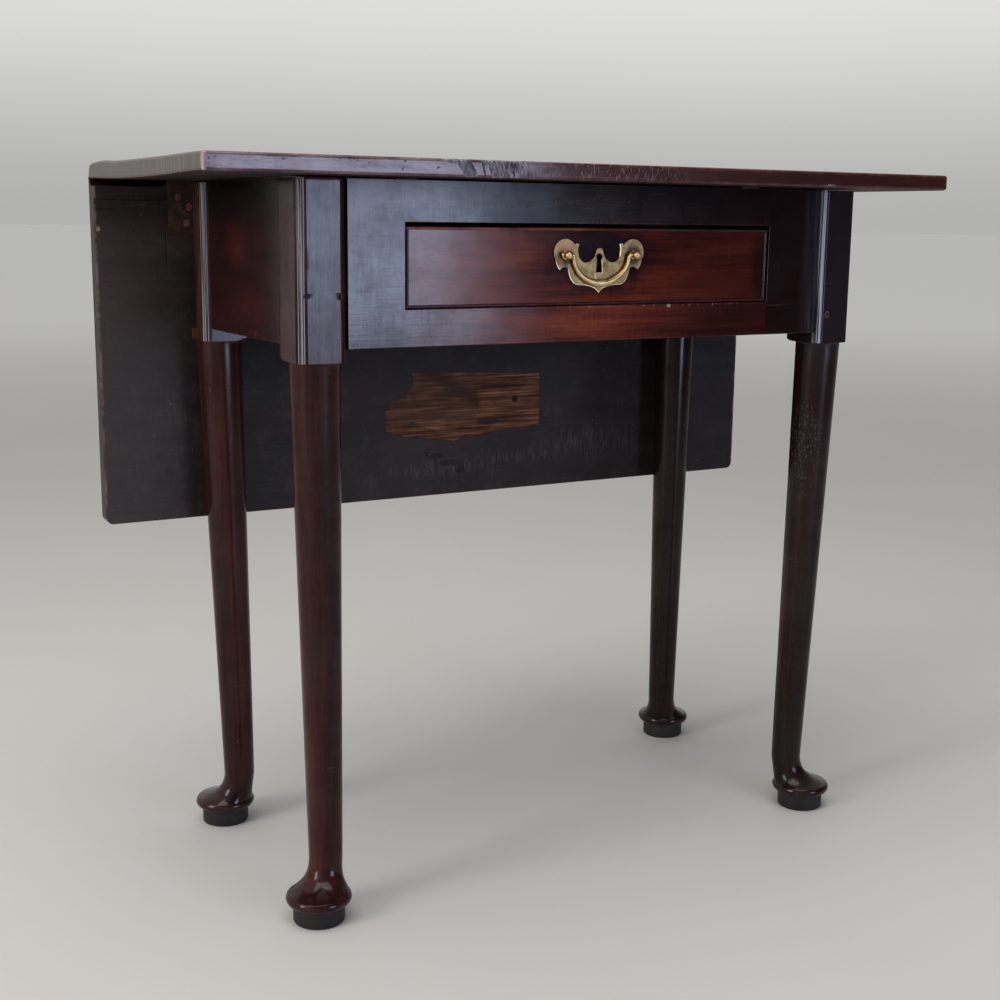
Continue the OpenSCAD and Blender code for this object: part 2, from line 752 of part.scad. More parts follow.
module front_stile_right() {
    color(mahogany) difference() {
        union() {
            box([open_x1, face_y, front_z], [inner_x, front_back_y, block_top]);
            front_tenon(inner_x, inner_x + leg_tenon, front_tenon_z0, front_tenon_z1);
        }
        for (t = [top_rail_tenon, bottom_rail_tenon]) {
            front_mortise(open_x1 - over, open_x1 + rail_tenon + tenon_end_clearance, t[0], t[1]);
        }
        at_corner(1, -1) peg_places() cylinder(h = peg_length + over, r = peg_radius + tenon_clearance / 2);
    }
}

module front_top_rail() {
    color(mahogany) difference() {
        union() {
            box([open_x0, face_y, open_z1], [open_x1, front_back_y, block_top]);
            front_tenon(open_x0 - rail_tenon, open_x1 + rail_tenon, top_rail_tenon[0], top_rail_tenon[1]);
        }
        box([drawer_mid_x - bolt_width / 2 - 2 * bolt_clearance, bolt_y0 - 2 * bolt_clearance, open_z1 - over],
            [drawer_mid_x + bolt_width / 2 + 2 * bolt_clearance, bolt_y0 + bolt_thickness + 2 * bolt_clearance,
             open_z1 + bolt_mortise]);
    }
}

module front_bottom_rail() {
    color(red_mahogany) {
        box([open_x0, face_y, front_z], [open_x1, front_back_y, open_z0]);
        front_tenon(open_x0 - rail_tenon, open_x1 + rail_tenon, bottom_rail_tenon[0], bottom_rail_tenon[1]);
    }
}

// Sides and back of the frame

module side_tenon(s, y0, y1) {
    mid = frame_x - side_tenon_mid;
    translate([s * mid, (y0 + y1) / 2, (side_tenon_z0 + side_tenon_z1) / 2])
        cube([tenon_thickness, y1 - y0, side_tenon_z1 - side_tenon_z0], center = true);
}

module side_apron_left() {
    front = frame_y0 + leg_block;
    r = apron_end_round;
    color(red_mahogany) {
        difference() {
            box([-side_outer_x, front, side_z], [-side_inner_x, apron_end_y, under_z]);
            box([-side_outer_x - over, apron_end_y - r, side_z - over], [-side_outer_x + r, apron_end_y + over,
                under_z + over]);
        }
        translate([-side_outer_x + r, apron_end_y - r, side_z]) cylinder(h = side_height, r = r);
        box([-tongue_x, apron_end_y - r, side_z], [-side_inner_x, back_rail_outer_y, under_z]);
        side_tenon(-1, front - leg_tenon, front + over);
    }
}

module side_apron_right() {
    front = frame_y0 + leg_block;
    back = back_y - leg_block;
    color(red_mahogany) {
        box([side_inner_x, front, side_z], [side_outer_x, back, under_z]);
        side_tenon(1, front - leg_tenon, front + over);
        side_tenon(1, back - over, back + leg_tenon);
    }
}

module back_rail() {
    mid = (back_rail_inner_y + back_rail_outer_y) / 2;
    color(pine) difference() {
        union() {
            box([-side_inner_x, back_rail_inner_y, back_rail_z], [inner_x, back_rail_outer_y, under_z]);
            box([inner_x - over, mid - tenon_thickness / 2, side_tenon_z0],
                [inner_x + leg_tenon, mid + tenon_thickness / 2, side_tenon_z1]);
        }
        fly_screw_places() wood_screw(fly_screw_length, screw_clearance);
    }
}

// Gate: a rail in two parts with a wooden knuckle between them

fly_screw_length = fly_thickness + back_rail_thickness * 0.6;

module fly_fingers(first, s) {
    r = fly_thickness / 2;
    for (k = [first:2:finger_count - 1]) {
        z0 = fly_z0 + k * finger_height + (k > 0 ? knuckle_gap / 2 : 0);
        z1 = fly_z0 + (k + 1) * finger_height - (k < finger_count - 1 ? knuckle_gap / 2 : 0);
        translate([knuckle_x, fly_mid_y, z0]) cylinder(h = z1 - z0, r = r);
        translate([knuckle_x + s * (r + over) / 2, fly_mid_y, (z0 + z1) / 2])
            cube([r + over + 2 * knuckle_gap, 2 * r, z1 - z0], center = true);
    }
}

module fly_pin_bore() {
    translate([knuckle_x, fly_mid_y, fly_z0 - over])
        cylinder(h = fly_height + 2 * over, r = knuckle_pin_radius + pintle_clearance);
}

module fly_screw_places() {
    step = (inner_x - knuckle_x) / 4;
    for (x = [knuckle_x + step, inner_x - step], z = [fly_z0 + fly_height / 4, fly_z1 - fly_height / 4]) {
        translate([x, fly_outer_y, z]) rotate([-90, 0, 0]) children();
    }
}

module fly_rail_fixed() {
    r = fly_thickness / 2;
    color(oak) difference() {
        union() {
            box([knuckle_x + r + knuckle_gap, fly_inner_y, fly_z0], [inner_x, fly_outer_y, fly_z1]);
            box([inner_x - over, fly_mid_y - tenon_thickness / 2, fly_tenon_z0],
                [inner_x + leg_tenon, fly_mid_y + tenon_thickness / 2, fly_tenon_z1]);
            fly_fingers(0, 1);
        }
        fly_pin_bore();
        fly_screw_places() wood_screw(fly_screw_length, screw_clearance);
    }
}

module fly_rail_swing() {
    r = fly_thickness / 2;
    color(oak) difference() {
        union() {
            box([-inner_x, fly_inner_y + gate_clearance, fly_z0],
                [knuckle_x - r - knuckle_gap, fly_outer_y, fly_z1]);
            box([-inner_x - leg_tenon, fly_mid_y - tenon_thickness / 2, fly_tenon_z0],
                [-inner_x + over, fly_mid_y + tenon_thickness / 2, fly_tenon_z1]);
            fly_fingers(1, -1);
        }
        fly_pin_bore();
    }
}

module fly_rail_pin() {
    color(iron) translate([knuckle_x, fly_mid_y, 0]) {
        translate([0, 0, fly_z0 - 2]) cylinder(h = fly_height + 2, r = knuckle_pin_radius);
        translate([0, 0, fly_z1]) cylinder(h = 2, r = knuckle_pin_radius + 2);
    }
}

module fly_rail_screws() {
    color(iron) fly_screw_places() wood_screw(fly_screw_length);
}

// Runners, guides and kickers; s is -1 at the left of the drawer and 1 at the right

function drawer_edge(s) = s < 0 ? drawer_x0 : drawer_x1;

module long_piece(s, inside, outside, z0, z1) {
    edge = drawer_edge(s);
    x0 = s < 0 ? edge - outside : edge - inside;
    x1 = s < 0 ? edge + inside : edge + outside;
    box([x0, front_back_y, z0], [x1, back_rail_inner_y, z1]);
}

guide_width = runner_width / 2;

module runner(s) {
    long_piece(s, runner_width / 2, runner_width / 2 + guide_gap, open_z0 - runner_height, open_z0);
}

module guide(s) {
    long_piece(s, -guide_gap, guide_width + guide_gap, open_z0, open_z0 + guide_height);
}

module kicker(s) {
    difference() {
        long_piece(s, kicker_width - drawer_side_gap, drawer_side_gap, open_z1, under_z);
        top_screw_places() wood_screw(top_screw_length, screw_clearance);
        top_screw_places() cylinder(h = kicker_counterbore + over, r = screw_head_radius + screw_clearance);
    }
}

kicker_counterbore = 14;
top_screw_length = under_z - open_z1 - kicker_counterbore + top_screw_bite;

// Screws up through the kickers into the top, two in each
module top_screw_places() {
    quarter = (back_rail_inner_y - front_back_y) / 4;
    for (s = [-1, 1], y = [front_back_y + quarter, back_rail_inner_y - quarter]) {
        x = drawer_edge(s) - s * (kicker_width / 2 - drawer_side_gap);
        translate([x, y, open_z1 + kicker_counterbore]) rotate([180, 0, 0]) children();
    }
}

module drawer_runner_left() {
    color(oak) runner(-1);
}

module drawer_runner_right() {
    color(oak) runner(1);
}

module drawer_guide_left() {
    color(oak) guide(-1);
}

module drawer_guide_right() {
    color(oak) guide(1);
}

module drawer_kicker_left() {
    color(pine) kicker(-1);
}

module drawer_kicker_right() {
    color(pine) kicker(1);
}

module drawer_stops() {
    color(pine) for (s = [-1, 1]) {
        x = drawer_edge(s) - s * drawer_side_thickness / 2;
        translate([x, back_rail_inner_y - stop_thickness / 2, open_z0 + guide_height / 2])
            cube([drawer_side_thickness, stop_thickness, guide_height], center = true);
    }
}

module top_screws() {
    color(iron) top_screw_places() wood_screw(top_screw_length);
}

// Blocks glued into the corner between the side aprons and the top, and the back rail and the top
module glue_blocks() {
    mid = (front_back_y + back_rail_inner_y) / 2;
    side = glue_block_side;
    color(pine) {
        for (s = [-1, 1], y = [mid - 0.9 * glue_block_length, mid + 0.9 * glue_block_length]) {
            translate([s * (side_inner_x - side / 2), y, under_z - side / 2])
                cube([side, glue_block_length, side], center = true);
        }
        for (x = [open_x0 / 2, open_x1 / 2]) {
            translate([x, back_rail_inner_y - side / 2, under_z - side / 2])
                cube([glue_block_length, side, side], center = true);
        }
    }
}

// Drawer

// One dovetail, from its root at y = 0 to its tip at y = -dovetail_length; grow makes its socket
module dovetail(grow = 0) {
    root = dovetail_width / 2 + grow;
    tip = root + dovetail_spread;
    rotate([90, 0, 90]) linear_extrude(drawer_side_thickness + 2 * grow, center = true)
        polygon([[0, -root], [-dovetail_length - grow, -tip], [-dovetail_length - grow, tip], [0, root],
            [over, root], [over, -root]]);
}

module dovetail_places(s) {
    x = drawer_edge(s) - s * drawer_side_thickness / 2;
    for (k = [0.5, 1.5]) {
        translate([x, drawer_front_back_y, drawer_z0 + k * dovetail_pitch]) children();
    }
}

module drawer_floor(grow = 0) {
    box([drawer_x0 + drawer_side_thickness - groove_depth - grow, drawer_front_back_y - groove_depth - grow,
            drawer_floor_z - grow],
        [drawer_x1 - drawer_side_thickness + groove_depth + grow, drawer_back_y + (grow > 0 ? over : 0),
            drawer_floor_top + grow]);
}

// Keyhole through a plate or board, from y0 to y1, a little larger by grow
module keyhole(y0, y1, grow = 0) {
    r = keyhole_radius + grow;
    translate([drawer_mid_x, 0, key_z]) {
        along_y(y0, y1) circle(r);
        along_y(y0, y1)
            polygon([[-r * 0.62, 0], [r * 0.62, 0], [r * 0.95, -keyhole_drop - grow],
                [-r * 0.95, -keyhole_drop - grow]]);
    }
}

module drawer_front() {
    color(red_mahogany) difference() {
        union() {
            box([drawer_x0 + bead_width, drawer_face_y, drawer_z0 + bead_width],
                [drawer_x1 - bead_width, drawer_face_y + bead_depth + over, drawer_z1 - bead_width]);
            box([drawer_x0, drawer_face_y + bead_depth, drawer_z0],
                [drawer_x1, drawer_front_back_y, drawer_z1]);
        }
        for (s = [-1, 1]) dovetail_places(s) dovetail(tenon_clearance);
        drawer_floor(tenon_clearance);
        post_places() translate([0, drawer_front_thickness / 2, 0]) rotate([90, 0, 0])
            cylinder(h = drawer_front_thickness + 2 * over, r = shank_radius + shank_clearance, center = true);
        keyhole(drawer_face_y - over, lock_y0 + over, 0.2);
        lock_outline(tenon_clearance);
    }
}

// Rounded strip of cock bead, with its outline in (Y, Z) for a strip along X
module bead_section() {
    r = bead_width / 2;
    translate([drawer_face_y - bead_projection + r, 0])
        square([bead_depth + bead_projection - r, bead_width]);
    translate([drawer_face_y - bead_projection + r, r]) circle(r);
}

module drawer_cock_beads() {
    length = drawer_x1 - drawer_x0;
    height = drawer_z1 - drawer_z0 - 2 * bead_width;
    color(dark_mahogany) {
        for (z = [drawer_z0, drawer_z1 - bead_width]) {
            translate([drawer_mid_x, 0, z]) along_x(length) bead_section();
        }
        for (x = [drawer_x0 + bead_width, drawer_x1]) {
            translate([x, 0, (drawer_z0 + drawer_z1) / 2]) rotate([0, -90, 0]) along_x(height) bead_section();
        }
    }
}

module drawer_side(s) {
    edge = drawer_edge(s);
    inner = edge - s * drawer_side_thickness;
    difference() {
        union() {
            box([min(edge, inner), drawer_front_back_y, open_z0],
                [max(edge, inner), drawer_back_y, drawer_side_z1]);
            dovetail_places(s) dovetail();
        }
        drawer_floor(tenon_clearance);
        back_pins(tenon_clearance);
    }
}

module drawer_side_left() {
    color(oak) drawer_side(-1);
}

module drawer_side_right() {
    color(oak) drawer_side(1);
}

// Two pins at each end of the drawer back, let through the sides
module back_pins(grow = 0) {
    height = drawer_z1 - drawer_back_drop - drawer_floor_top;
    for (k = [0.25, 0.75]) {
        translate([drawer_mid_x, drawer_back_y - drawer_back_thickness / 2 - over,
                drawer_floor_top + k * height])
            cube([drawer_x1 - drawer_x0 + 2 * grow, drawer_back_thickness + 2 * grow, height / 4 + 2 * grow],
                center = true);
    }
}

module drawer_back() {
    color(oak) difference() {
        union() {
            box([drawer_x0 + drawer_side_thickness, drawer_back_y - drawer_back_thickness - over,
                    drawer_floor_top],
                [drawer_x1 - drawer_side_thickness, drawer_back_y - over, drawer_z1 - drawer_back_drop]);
            back_pins();
        }
        nail_places() nail(screw_clearance);
    }
}

nail_radius = 1;
nail_length = 18;

// Nails up through the drawer bottom into the drawer back
module nail_places() {
    span = (drawer_x1 - drawer_x0) / 3;
    for (k = [-1, 0, 1]) {
        translate([drawer_mid_x + k * span, drawer_back_y - drawer_back_thickness / 2 - over, drawer_floor_z])
            children();
    }
}

module nail(grow = 0) {
    cylinder(h = nail_length + grow, r = nail_radius + grow);
    cylinder(h = 1, r = 2 * nail_radius + grow);
}

module drawer_bottom() {
    color(oak) difference() {
        drawer_floor();
        nail_places() nail(screw_clearance);
    }
}

module drawer_bottom_nails() {
    color(iron) nail_places() nail();
}

// Handle

// Both posts' places on the drawer's face
module post_places() {
    for (s = [-1, 1]) translate([drawer_mid_x + s * post_x, drawer_face_y, handle_z]) children();
}

// Right half of the backplate's outline, from its peak to its tip, about the middle of the posts
lobe = [post_x - 0.1, 2.4];
plate_half = concat(
    arc([0, 2.6], 4, 90, 15),
    curve([3.9, 3.6], [5.2, -3.5], [10.2, -5.6]),
    arc([15.3, 1.4], 8.7, 234, 345),
    [[24.3, 5.5], [23, 10.4], [26.4, 11]],
    curve([26.4, 11], [27.8, 8.6], lobe + lobe_radius * [cos(139), sin(139)], 4),
    arc(lobe, lobe_radius, 139, -32, 20),
    curve(lobe + lobe_radius * [cos(-32), sin(-32)], [post_x + 9.9, -11], [post_x + 5.8, -14.3], 4),
    curve([post_x + 5.8, -14.3], [post_x + 2.5, -9.8], [post_x - 3.3, -12.2]),
    curve([post_x - 3.3, -12.2], [33.8, -26.6], [25, -28.7]),
    curve([25, -28.7], [4.5, -28.6], [0, -plate_tip]));
plate_outline = concat(plate_half, [for (i = [len(plate_half) - 2:-1:1]) [-plate_half[i].x, plate_half[i].y]]);

module handle_backplate() {
    color(brass) difference() {
        translate([drawer_mid_x, 0, handle_z]) along_y(plate_face_y, drawer_face_y) polygon(plate_outline);
        keyhole(plate_face_y - over, drawer_face_y + over);
        post_places() rotate([90, 0, 0])
            cylinder(h = 4 * plate_thickness, r = shank_radius + shank_clearance, center = true);
    }
}

// One post: threaded shank, collar, neck with the pintle's bore, and ball head
module handle_post(s) {
    shank_end = drawer_front_thickness + nut_height + 1.5;
    color(brass) translate([drawer_mid_x + s * post_x, drawer_face_y, handle_z]) difference() {
        rotate([90, 0, 0]) {
            translate([0, 0, -shank_end]) cylinder(h = shank_end + plate_thickness + over, r = shank_radius);
            translate([0, 0, plate_thickness]) cylinder(h = 1.2, r = neck_radius + 1.2);
            translate([0, 0, plate_thickness]) cylinder(h = ball_reach, r = neck_radius);
            translate([0, 0, plate_thickness + ball_reach]) sphere(ball_radius);
        }
        translate([0, -plate_thickness - bail_reach, 0]) rotate([0, 90, 0])
            cylinder(h = 4 * neck_radius, r = pintle_radius + pintle_clearance, center = true);
    }
}

module handle_post_left() {
    handle_post(-1);
}

module handle_post_right() {
    handle_post(1);
}

module handle_nuts() {
    color(iron) post_places() translate([0, drawer_front_thickness, 0]) difference() {
        translate([0, nut_height / 2, 0]) cube([nut_side, nut_height, nut_side], center = true);
        rotate([90, 0, 0]) cylinder(h = 4 * nut_height, r = shank_radius + screw_clearance, center = true);
    }
}

// Centre line of the bail: [x, depth towards the backplate, z, radius], from the left arm to the right
bail_bend = bail_reach - bail_middle_radius - bail_plate_gap;
bail_arm_x = post_x - ball_radius - 0.4;
bail_right = [for (a = [84:-7:0])
    [bail_half_width * sin(a), bail_bend * pow(cos(a), 0.6), -bail_drop * cos(a),
     bail_arm_radius + (bail_middle_radius - bail_arm_radius) * cos(a) * cos(a)]];
bail_hook = [[bail_arm_x, 0, 0, bail_arm_radius], [bail_arm_x - 0.9, 0, 0, bail_arm_radius],
    [bail_half_width + 0.7, 0, 0.1, bail_arm_radius], [bail_half_width + 0.1, 0, -1.2, bail_arm_radius]];
bail_half = concat(bail_hook, bail_right);
bail_path = concat([for (p = bail_half) [-p[0], p[1], p[2], p[3]]],
    [for (i = [len(bail_half) - 2:-1:0]) bail_half[i]]);
bail_sides = 12;

module bail_sweep() {
    count = len(bail_path);
    points = [for (k = [0:count - 1])
        let (p = bail_path[k], q = bail_path[max(k - 1, 0)], r = bail_path[min(k + 1, count - 1)],
             dx = r[0] - q[0], dz = r[2] - q[2], length = sqrt(dx * dx + dz * dz))
        for (i = [0:bail_sides - 1])
            let (a = 360 * i / bail_sides)
            [p[0] - p[3] * cos(a) * dz / length, p[1] + p[3] * sin(a), p[2] + p[3] * cos(a) * dx / length]];
    walls = [for (k = [0:count - 2], i = [0:bail_sides - 1])
        let (a = k * bail_sides + i, b = k * bail_sides + (i + 1) % bail_sides)
        [a, b, b + bail_sides, a + bail_sides]];
    polyhedron(points, concat(
        [[for (i = [bail_sides - 1:-1:0]) i]],
        walls,
        [[for (i = [0:bail_sides - 1]) (count - 1) * bail_sides + i]]));
}

module handle_bail() {
    inside = bail_arm_x - 0.5;
    color(brass) translate([drawer_mid_x, bail_axis_y, handle_z]) {
        bail_sweep();
        for (s = [-1, 1]) {
            translate([s * (inside + post_x + 2) / 2, 0, 0]) rotate([0, 90, 0])
                cylinder(h = post_x + 2 - inside, r = pintle_radius, center = true);
        }
    }
}

// Lock

module lock_outline(grow = 0) {
    box([drawer_mid_x - lock_length / 2 - grow, lock_y0 - grow, lock_z0 - grow],
        [drawer_mid_x + lock_length / 2 + grow, drawer_front_back_y + over * (grow > 0 ? 1 : 0),
         drawer_z1 + over * (grow > 0 ? 1 : 0)]);
}

module lock_case() {
    half = bolt_width / 2 + bolt_clearance;
    color(brass) difference() {
        lock_outline();
        box([drawer_mid_x - half - 4, lock_y0 + lock_plate, lock_z0 + lock_plate],
            [drawer_mid_x + half + 4, drawer_front_back_y - lock_plate, drawer_z1 - lock_plate]);
        box([drawer_mid_x - half, lock_y0 + lock_plate, lock_z0 + lock_height / 2],
            [drawer_mid_x + half, bolt_y0 + bolt_thickness + bolt_clearance, drawer_z1 + over]);
        keyhole(lock_y0 - over, lock_y0 + lock_plate + over);
        lock_screw_places() wood_screw(lock_screw_length, screw_clearance);
    }
    color(brass) translate([drawer_mid_x, lock_y0 + lock_plate, key_z]) rotate([-90, 0, 0])
        cylinder(h = lock_depth - 2 * lock_plate, r = 1.2);
}

module lock_bolt() {
    z0 = bolt_z1 - bolt_height;
    color(iron) difference() {
        box([drawer_mid_x - bolt_width / 2, bolt_y0, z0],
            [drawer_mid_x + bolt_width / 2, bolt_y0 + bolt_thickness, bolt_z1]);
        translate([drawer_mid_x, bolt_y0 + bolt_thickness / 2, key_z]) rotate([90, 0, 0])
            cylinder(h = bolt_thickness + 2 * over, r = 7.5, center = true);
    }
}

lock_screw_length = 7;

// Screws through the lock's back plate into the drawer front, beside the bolt
module lock_screw_places() {
    x = (lock_length / 2 + bolt_width / 2 + bolt_clearance + 4) / 2;
    for (sx = [-1, 1], z = [lock_z0 + 8, drawer_z1 - 8]) {
        translate([drawer_mid_x + sx * x, drawer_front_back_y, z]) rotate([-90, 0, 0]) children();
    }
}

module lock_screws() {
    color(iron) lock_screw_places() wood_screw(lock_screw_length);
}

top_board();
leg_front_left();
leg_front_right();
leg_back_right();
swing_leg();
front_stile_left();
front_stile_right();
front_top_rail();
front_bottom_rail();
side_apron_left();
side_apron_right();
back_rail();
fly_rail_fixed();
fly_rail_swing();
fly_rail_pin();
fly_rail_screws();
drawer_runner_left();
drawer_runner_right();
drawer_guide_left();
drawer_guide_right();
drawer_kicker_left();
drawer_kicker_right();
drawer_stops();
glue_blocks();
tenon_pegs();
top_screws();
hinge_top_flaps();
hinge_pins();
hinge_top_screws();
drop_leaf();
hinge_leaf_flaps();
hinge_leaf_screws();
drawer_front();
drawer_cock_beads();
drawer_side_left();
drawer_side_right();
drawer_back();
drawer_bottom();
drawer_bottom_nails();
handle_backplate();
handle_post_left();
handle_post_right();
handle_nuts();
lock_case();
lock_screws();
lock_bolt();
handle_bail();
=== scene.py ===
import math

import bmesh
import bpy
import numpy as np
from mathutils import Matrix, Vector, noise


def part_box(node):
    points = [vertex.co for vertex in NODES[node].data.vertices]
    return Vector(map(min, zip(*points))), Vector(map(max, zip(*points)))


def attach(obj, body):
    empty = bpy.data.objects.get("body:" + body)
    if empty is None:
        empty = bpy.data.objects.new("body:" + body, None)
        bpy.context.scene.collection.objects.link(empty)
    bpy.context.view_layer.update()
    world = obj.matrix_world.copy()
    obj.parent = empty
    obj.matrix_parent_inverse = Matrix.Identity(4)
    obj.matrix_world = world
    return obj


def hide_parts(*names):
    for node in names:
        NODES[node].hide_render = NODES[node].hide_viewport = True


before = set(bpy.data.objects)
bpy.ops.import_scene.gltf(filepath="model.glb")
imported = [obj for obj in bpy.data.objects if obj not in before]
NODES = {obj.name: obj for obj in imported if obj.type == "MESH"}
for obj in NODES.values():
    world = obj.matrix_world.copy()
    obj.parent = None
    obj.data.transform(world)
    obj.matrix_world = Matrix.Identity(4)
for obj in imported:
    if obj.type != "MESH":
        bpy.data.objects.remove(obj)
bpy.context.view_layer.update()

SCENE = bpy.context.scene
MM = 0.001

# Sizes that the pieces made here share with the solids, in millimetres
TOP_LOW, TOP_HIGH = [[v / MM for v in corner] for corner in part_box("top_board")]
LEAF_LOW = [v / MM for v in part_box("drop_leaf")[0]]
HALF = TOP_HIGH[0]
FRONT_Y = TOP_LOW[1]
TOP = TOP_HIGH[2]
UNDER = 695.0
HINGES = (-320.0, 0.0, 320.0)
HINGE_Z = 698.5
LEAF_SCREWS = ((-5.33, 20.3), (6.4, 30.2), (3.2, 46.4))
BLOCK_TOP = 693.0
BLOCK_LOW = 533.0
BLOCK_HALF = 24.0
MOULD = 7.4
MOULD_R = 6.0
SHOULDER = 7.0
SHOULDER_REACH = 27.94
SHAFT_R = 23.4
ANKLE_R = 16.25
ANKLE_Z = 57.0
LEAN = 8.3
FOOT = 4.4
PAD_R = 31.6
PAD_ROUND = 1.8
PAD_H = 8.4
SHOE_R = 24.7
SHOE_H = 19.3
LEG_X = 294.0
LEG_Y0 = -122.25
LEG_Y1 = 138.25
BLOCK_FRONT_Y = LEG_Y0 - BLOCK_HALF
PEG_X = 284.0
PEG_ZS = (563.5, 644.5)
REBATE_Y = 136.65
REBATE_X = -271.2
REBATE_Z = 546.5
OPENING_LOW = 578.5
OPENING_HIGH = 656.0
FRONT_EDGES_Y = -143.0
PLATE_EDGES_Y = -142.4
HANDLE_X = -6.0
HANDLE_Z = 626.85
HANDLE_Y = -142.55
POST_X = 39.0
POST_Y = -140.75
BAIL_Y = -146.75

# Faces that carry marks, in metres
LEAF_FACE_Y = 0.1642
PLATE_FACE_Y = -0.1427


# Materials

class Shader:
    """The nodes of a material or a world, with one short call for each kind, and the look built so far."""

    def __init__(self, owner, seed=0.0, coords="Object"):
        owner.use_nodes = True
        self.owner = owner
        self.tree = owner.node_tree
        self.seed = seed
        self.coords = self.add("TexCoord").outputs[coords]
        self.colour = None
        self.rough = None
        self.normal = None

    def put(self, socket, value):
        """Join a socket to a node's output, or give it a value."""
        if isinstance(value, bpy.types.NodeSocket):
            self.tree.links.new(value, socket)
        else:
            socket.default_value = (*value, 1.0) if socket.type == "RGBA" else value

    def add(self, kind, inputs=(), **settings):
        """A node with its settings and its inputs, which are given in order or by name."""
        n = self.tree.nodes.new("ShaderNode" + kind)
        for key, value in settings.items():
            setattr(n, key, value)
        for key, value in inputs.items() if isinstance(inputs, dict) else enumerate(inputs):
            self.put(n.inputs[key], value)
        return n

    def math(self, op, a, b=0.0, c=0.0, clamp=False):
        return self.add("Math", (a, b, c), operation=op, use_clamp=clamp).outputs[0]

    def plus(self, a, b, clamp=False):
        return self.math("ADD", a, b, clamp=clamp)

    def minus(self, a, b):
        return self.math("SUBTRACT", a, b)

    def times(self, a, b, clamp=False):
        return self.math("MULTIPLY", a, b, clamp=clamp)

    def scaled(self, scale, offset=0.0, turn=(0.0, 0.0, 0.0)):
        """The object's coordinates, scaled and turned, at a place of the seed's own."""
        place = (self.seed * 1.7 + offset, self.seed * 2.3 - offset, self.seed * 0.9 + offset)
        scale = scale if isinstance(scale, tuple) else (scale,) * 3
        return self.add("Mapping", (self.coords, place, turn, scale)).outputs[0]

    def along(self, grain, long, wide, offset=0.0):
        """Coordinates stretched along the grain."""
        return self.scaled(tuple(long if axis == grain else wide for axis in "XYZ"), offset)

    def noise(self, vector, detail=3.0, rough=0.55, distort=0.0):
        inputs = {"Vector": vector, "Scale": 1.0, "Detail": detail, "Roughness": rough, "Distortion": distort}
        return self.add("TexNoise", inputs).outputs["Fac"]

    def step(self, value, low, high, out_low=0.0, out_high=1.0):
        """A soft step from out_low to out_high as the value goes from low to high."""
        inputs = (value, low, high, out_low, out_high)
        return self.add("MapRange", inputs, interpolation_type="SMOOTHSTEP").outputs[0]

    def fall(self, value, low, high):
        return self.step(value, low, high, 1.0, 0.0)

    def span(self, value, start, full, end, gone):
        """Rises from start to full and falls from end to gone."""
        return self.times(self.step(value, start, full), self.fall(value, end, gone))

    def patches(self, vector, detail, rough, low, high):
        """Patches of a noise: 0 where it is under low, 1 where it is over high."""
        return self.step(self.noise(vector, detail, rough), low, high)

    def ragged(self, value, low, high, amount, scale, offset=0.0):
        """A step with a ragged line."""
        wobble = self.times(self.minus(self.noise(self.scaled(scale, offset), 4.0, 0.65), 0.5), amount)
        return self.step(self.plus(value, wobble), low, high)

    def curve(self, value, low, high, points):
        """Follows points (input, output), both between 0 and 1, as the value goes from low to high."""
        n = self.add("FloatCurve")
        curve = n.mapping.curves[0]
        for i, (x, y) in enumerate(points):
            if i < 2:
                curve.points[i].location = (x, y)
            else:
                curve.points.new(x, y)
        for p in curve.points:
            p.handle_type = "VECTOR"
        n.mapping.update()
        self.put(n.inputs["Value"], self.math("DIVIDE", self.minus(value, low), high - low, clamp=True))
        return n.outputs[0]

    def mix(self, amount, a, b):
        return self.add("Mix", {0: amount, 6: a, 7: b}, data_type="RGBA").outputs[2]

    def ramp(self, value, stops):
        n = self.add("ValToRGB", (value,))
        elements = n.color_ramp.elements
        while len(elements) < len(stops):
            elements.new(0.5)
        for item, (place, colour) in zip(elements, stops):
            item.position = place
            item.color = (*colour, 1.0)
        return n.outputs[0]

    def axes(self):
        return self.add("SeparateXYZ", (self.coords,)).outputs

    def attribute(self, name):
        return self.add("Attribute", attribute_name=name).outputs["Fac"]

    def edges(self, low, high, width):
        """1 at the edges of a box, falling to 0 at width from them, by the middle one of three distances."""
        gaps = []
        for axis, a, b in zip(self.axes(), low, high):
            near = self.math("MINIMUM", self.minus(axis, a), self.minus(b, axis))
            gaps.append(self.math("ABSOLUTE", near))
        a, b, c = gaps
        larger = self.math("MINIMUM", self.math("MAXIMUM", a, b), c)
        middle = self.math("MAXIMUM", self.math("MINIMUM", a, b), larger)
        return self.fall(middle, 0.0, width)

    def spot(self, centre, size, rim, grain=30.0, soft=0.35):
        """1 inside an ellipse round a point, 0 outside, with a ragged rim."""
        away = self.add("VectorMath", (self.coords, centre), operation="SUBTRACT").outputs[0]
        away = self.add("VectorMath", (away, size), operation="DIVIDE").outputs[0]
        value = self.add("VectorMath", (away,), operation="LENGTH").outputs["Value"]
        wobble = self.noise(self.scaled(grain, 3.1), 3.0, 0.6)
        value = self.plus(value, self.times(self.minus(wobble, 0.5), rim))
        return self.fall(value, 1.0 - soft, 1.0 + soft)

    def tint(self, mask, colour, amount=None):
        """Lay a colour over the look where the mask is."""
        mask = mask if amount is None else self.times(mask, amount)
        self.colour = self.mix(mask, self.colour, colour)

    def roughen(self, mask, amount, clamp=True):
        self.rough = self.plus(self.rough, self.times(mask, amount), clamp)

    def bump(self, height, distance):
        """Raise the surface, over what was raised before."""
        n = self.add("Bump", {"Strength": 1.0, "Distance": distance, "Height": height})
        if self.normal is not None:
            self.put(n.inputs["Normal"], self.normal)
        self.normal = n.outputs[0]

    def finish(self, **constants):
        """Give the look to the surface."""
        surface = self.tree.nodes["Principled BSDF"]
        parts = {"Base Color": self.colour, "Roughness": self.rough, "Normal": self.normal, **constants}
        for key, value in parts.items():
            if value is not None:
                self.put(surface.inputs[key.replace("_", " ")], value)
        return self.owner


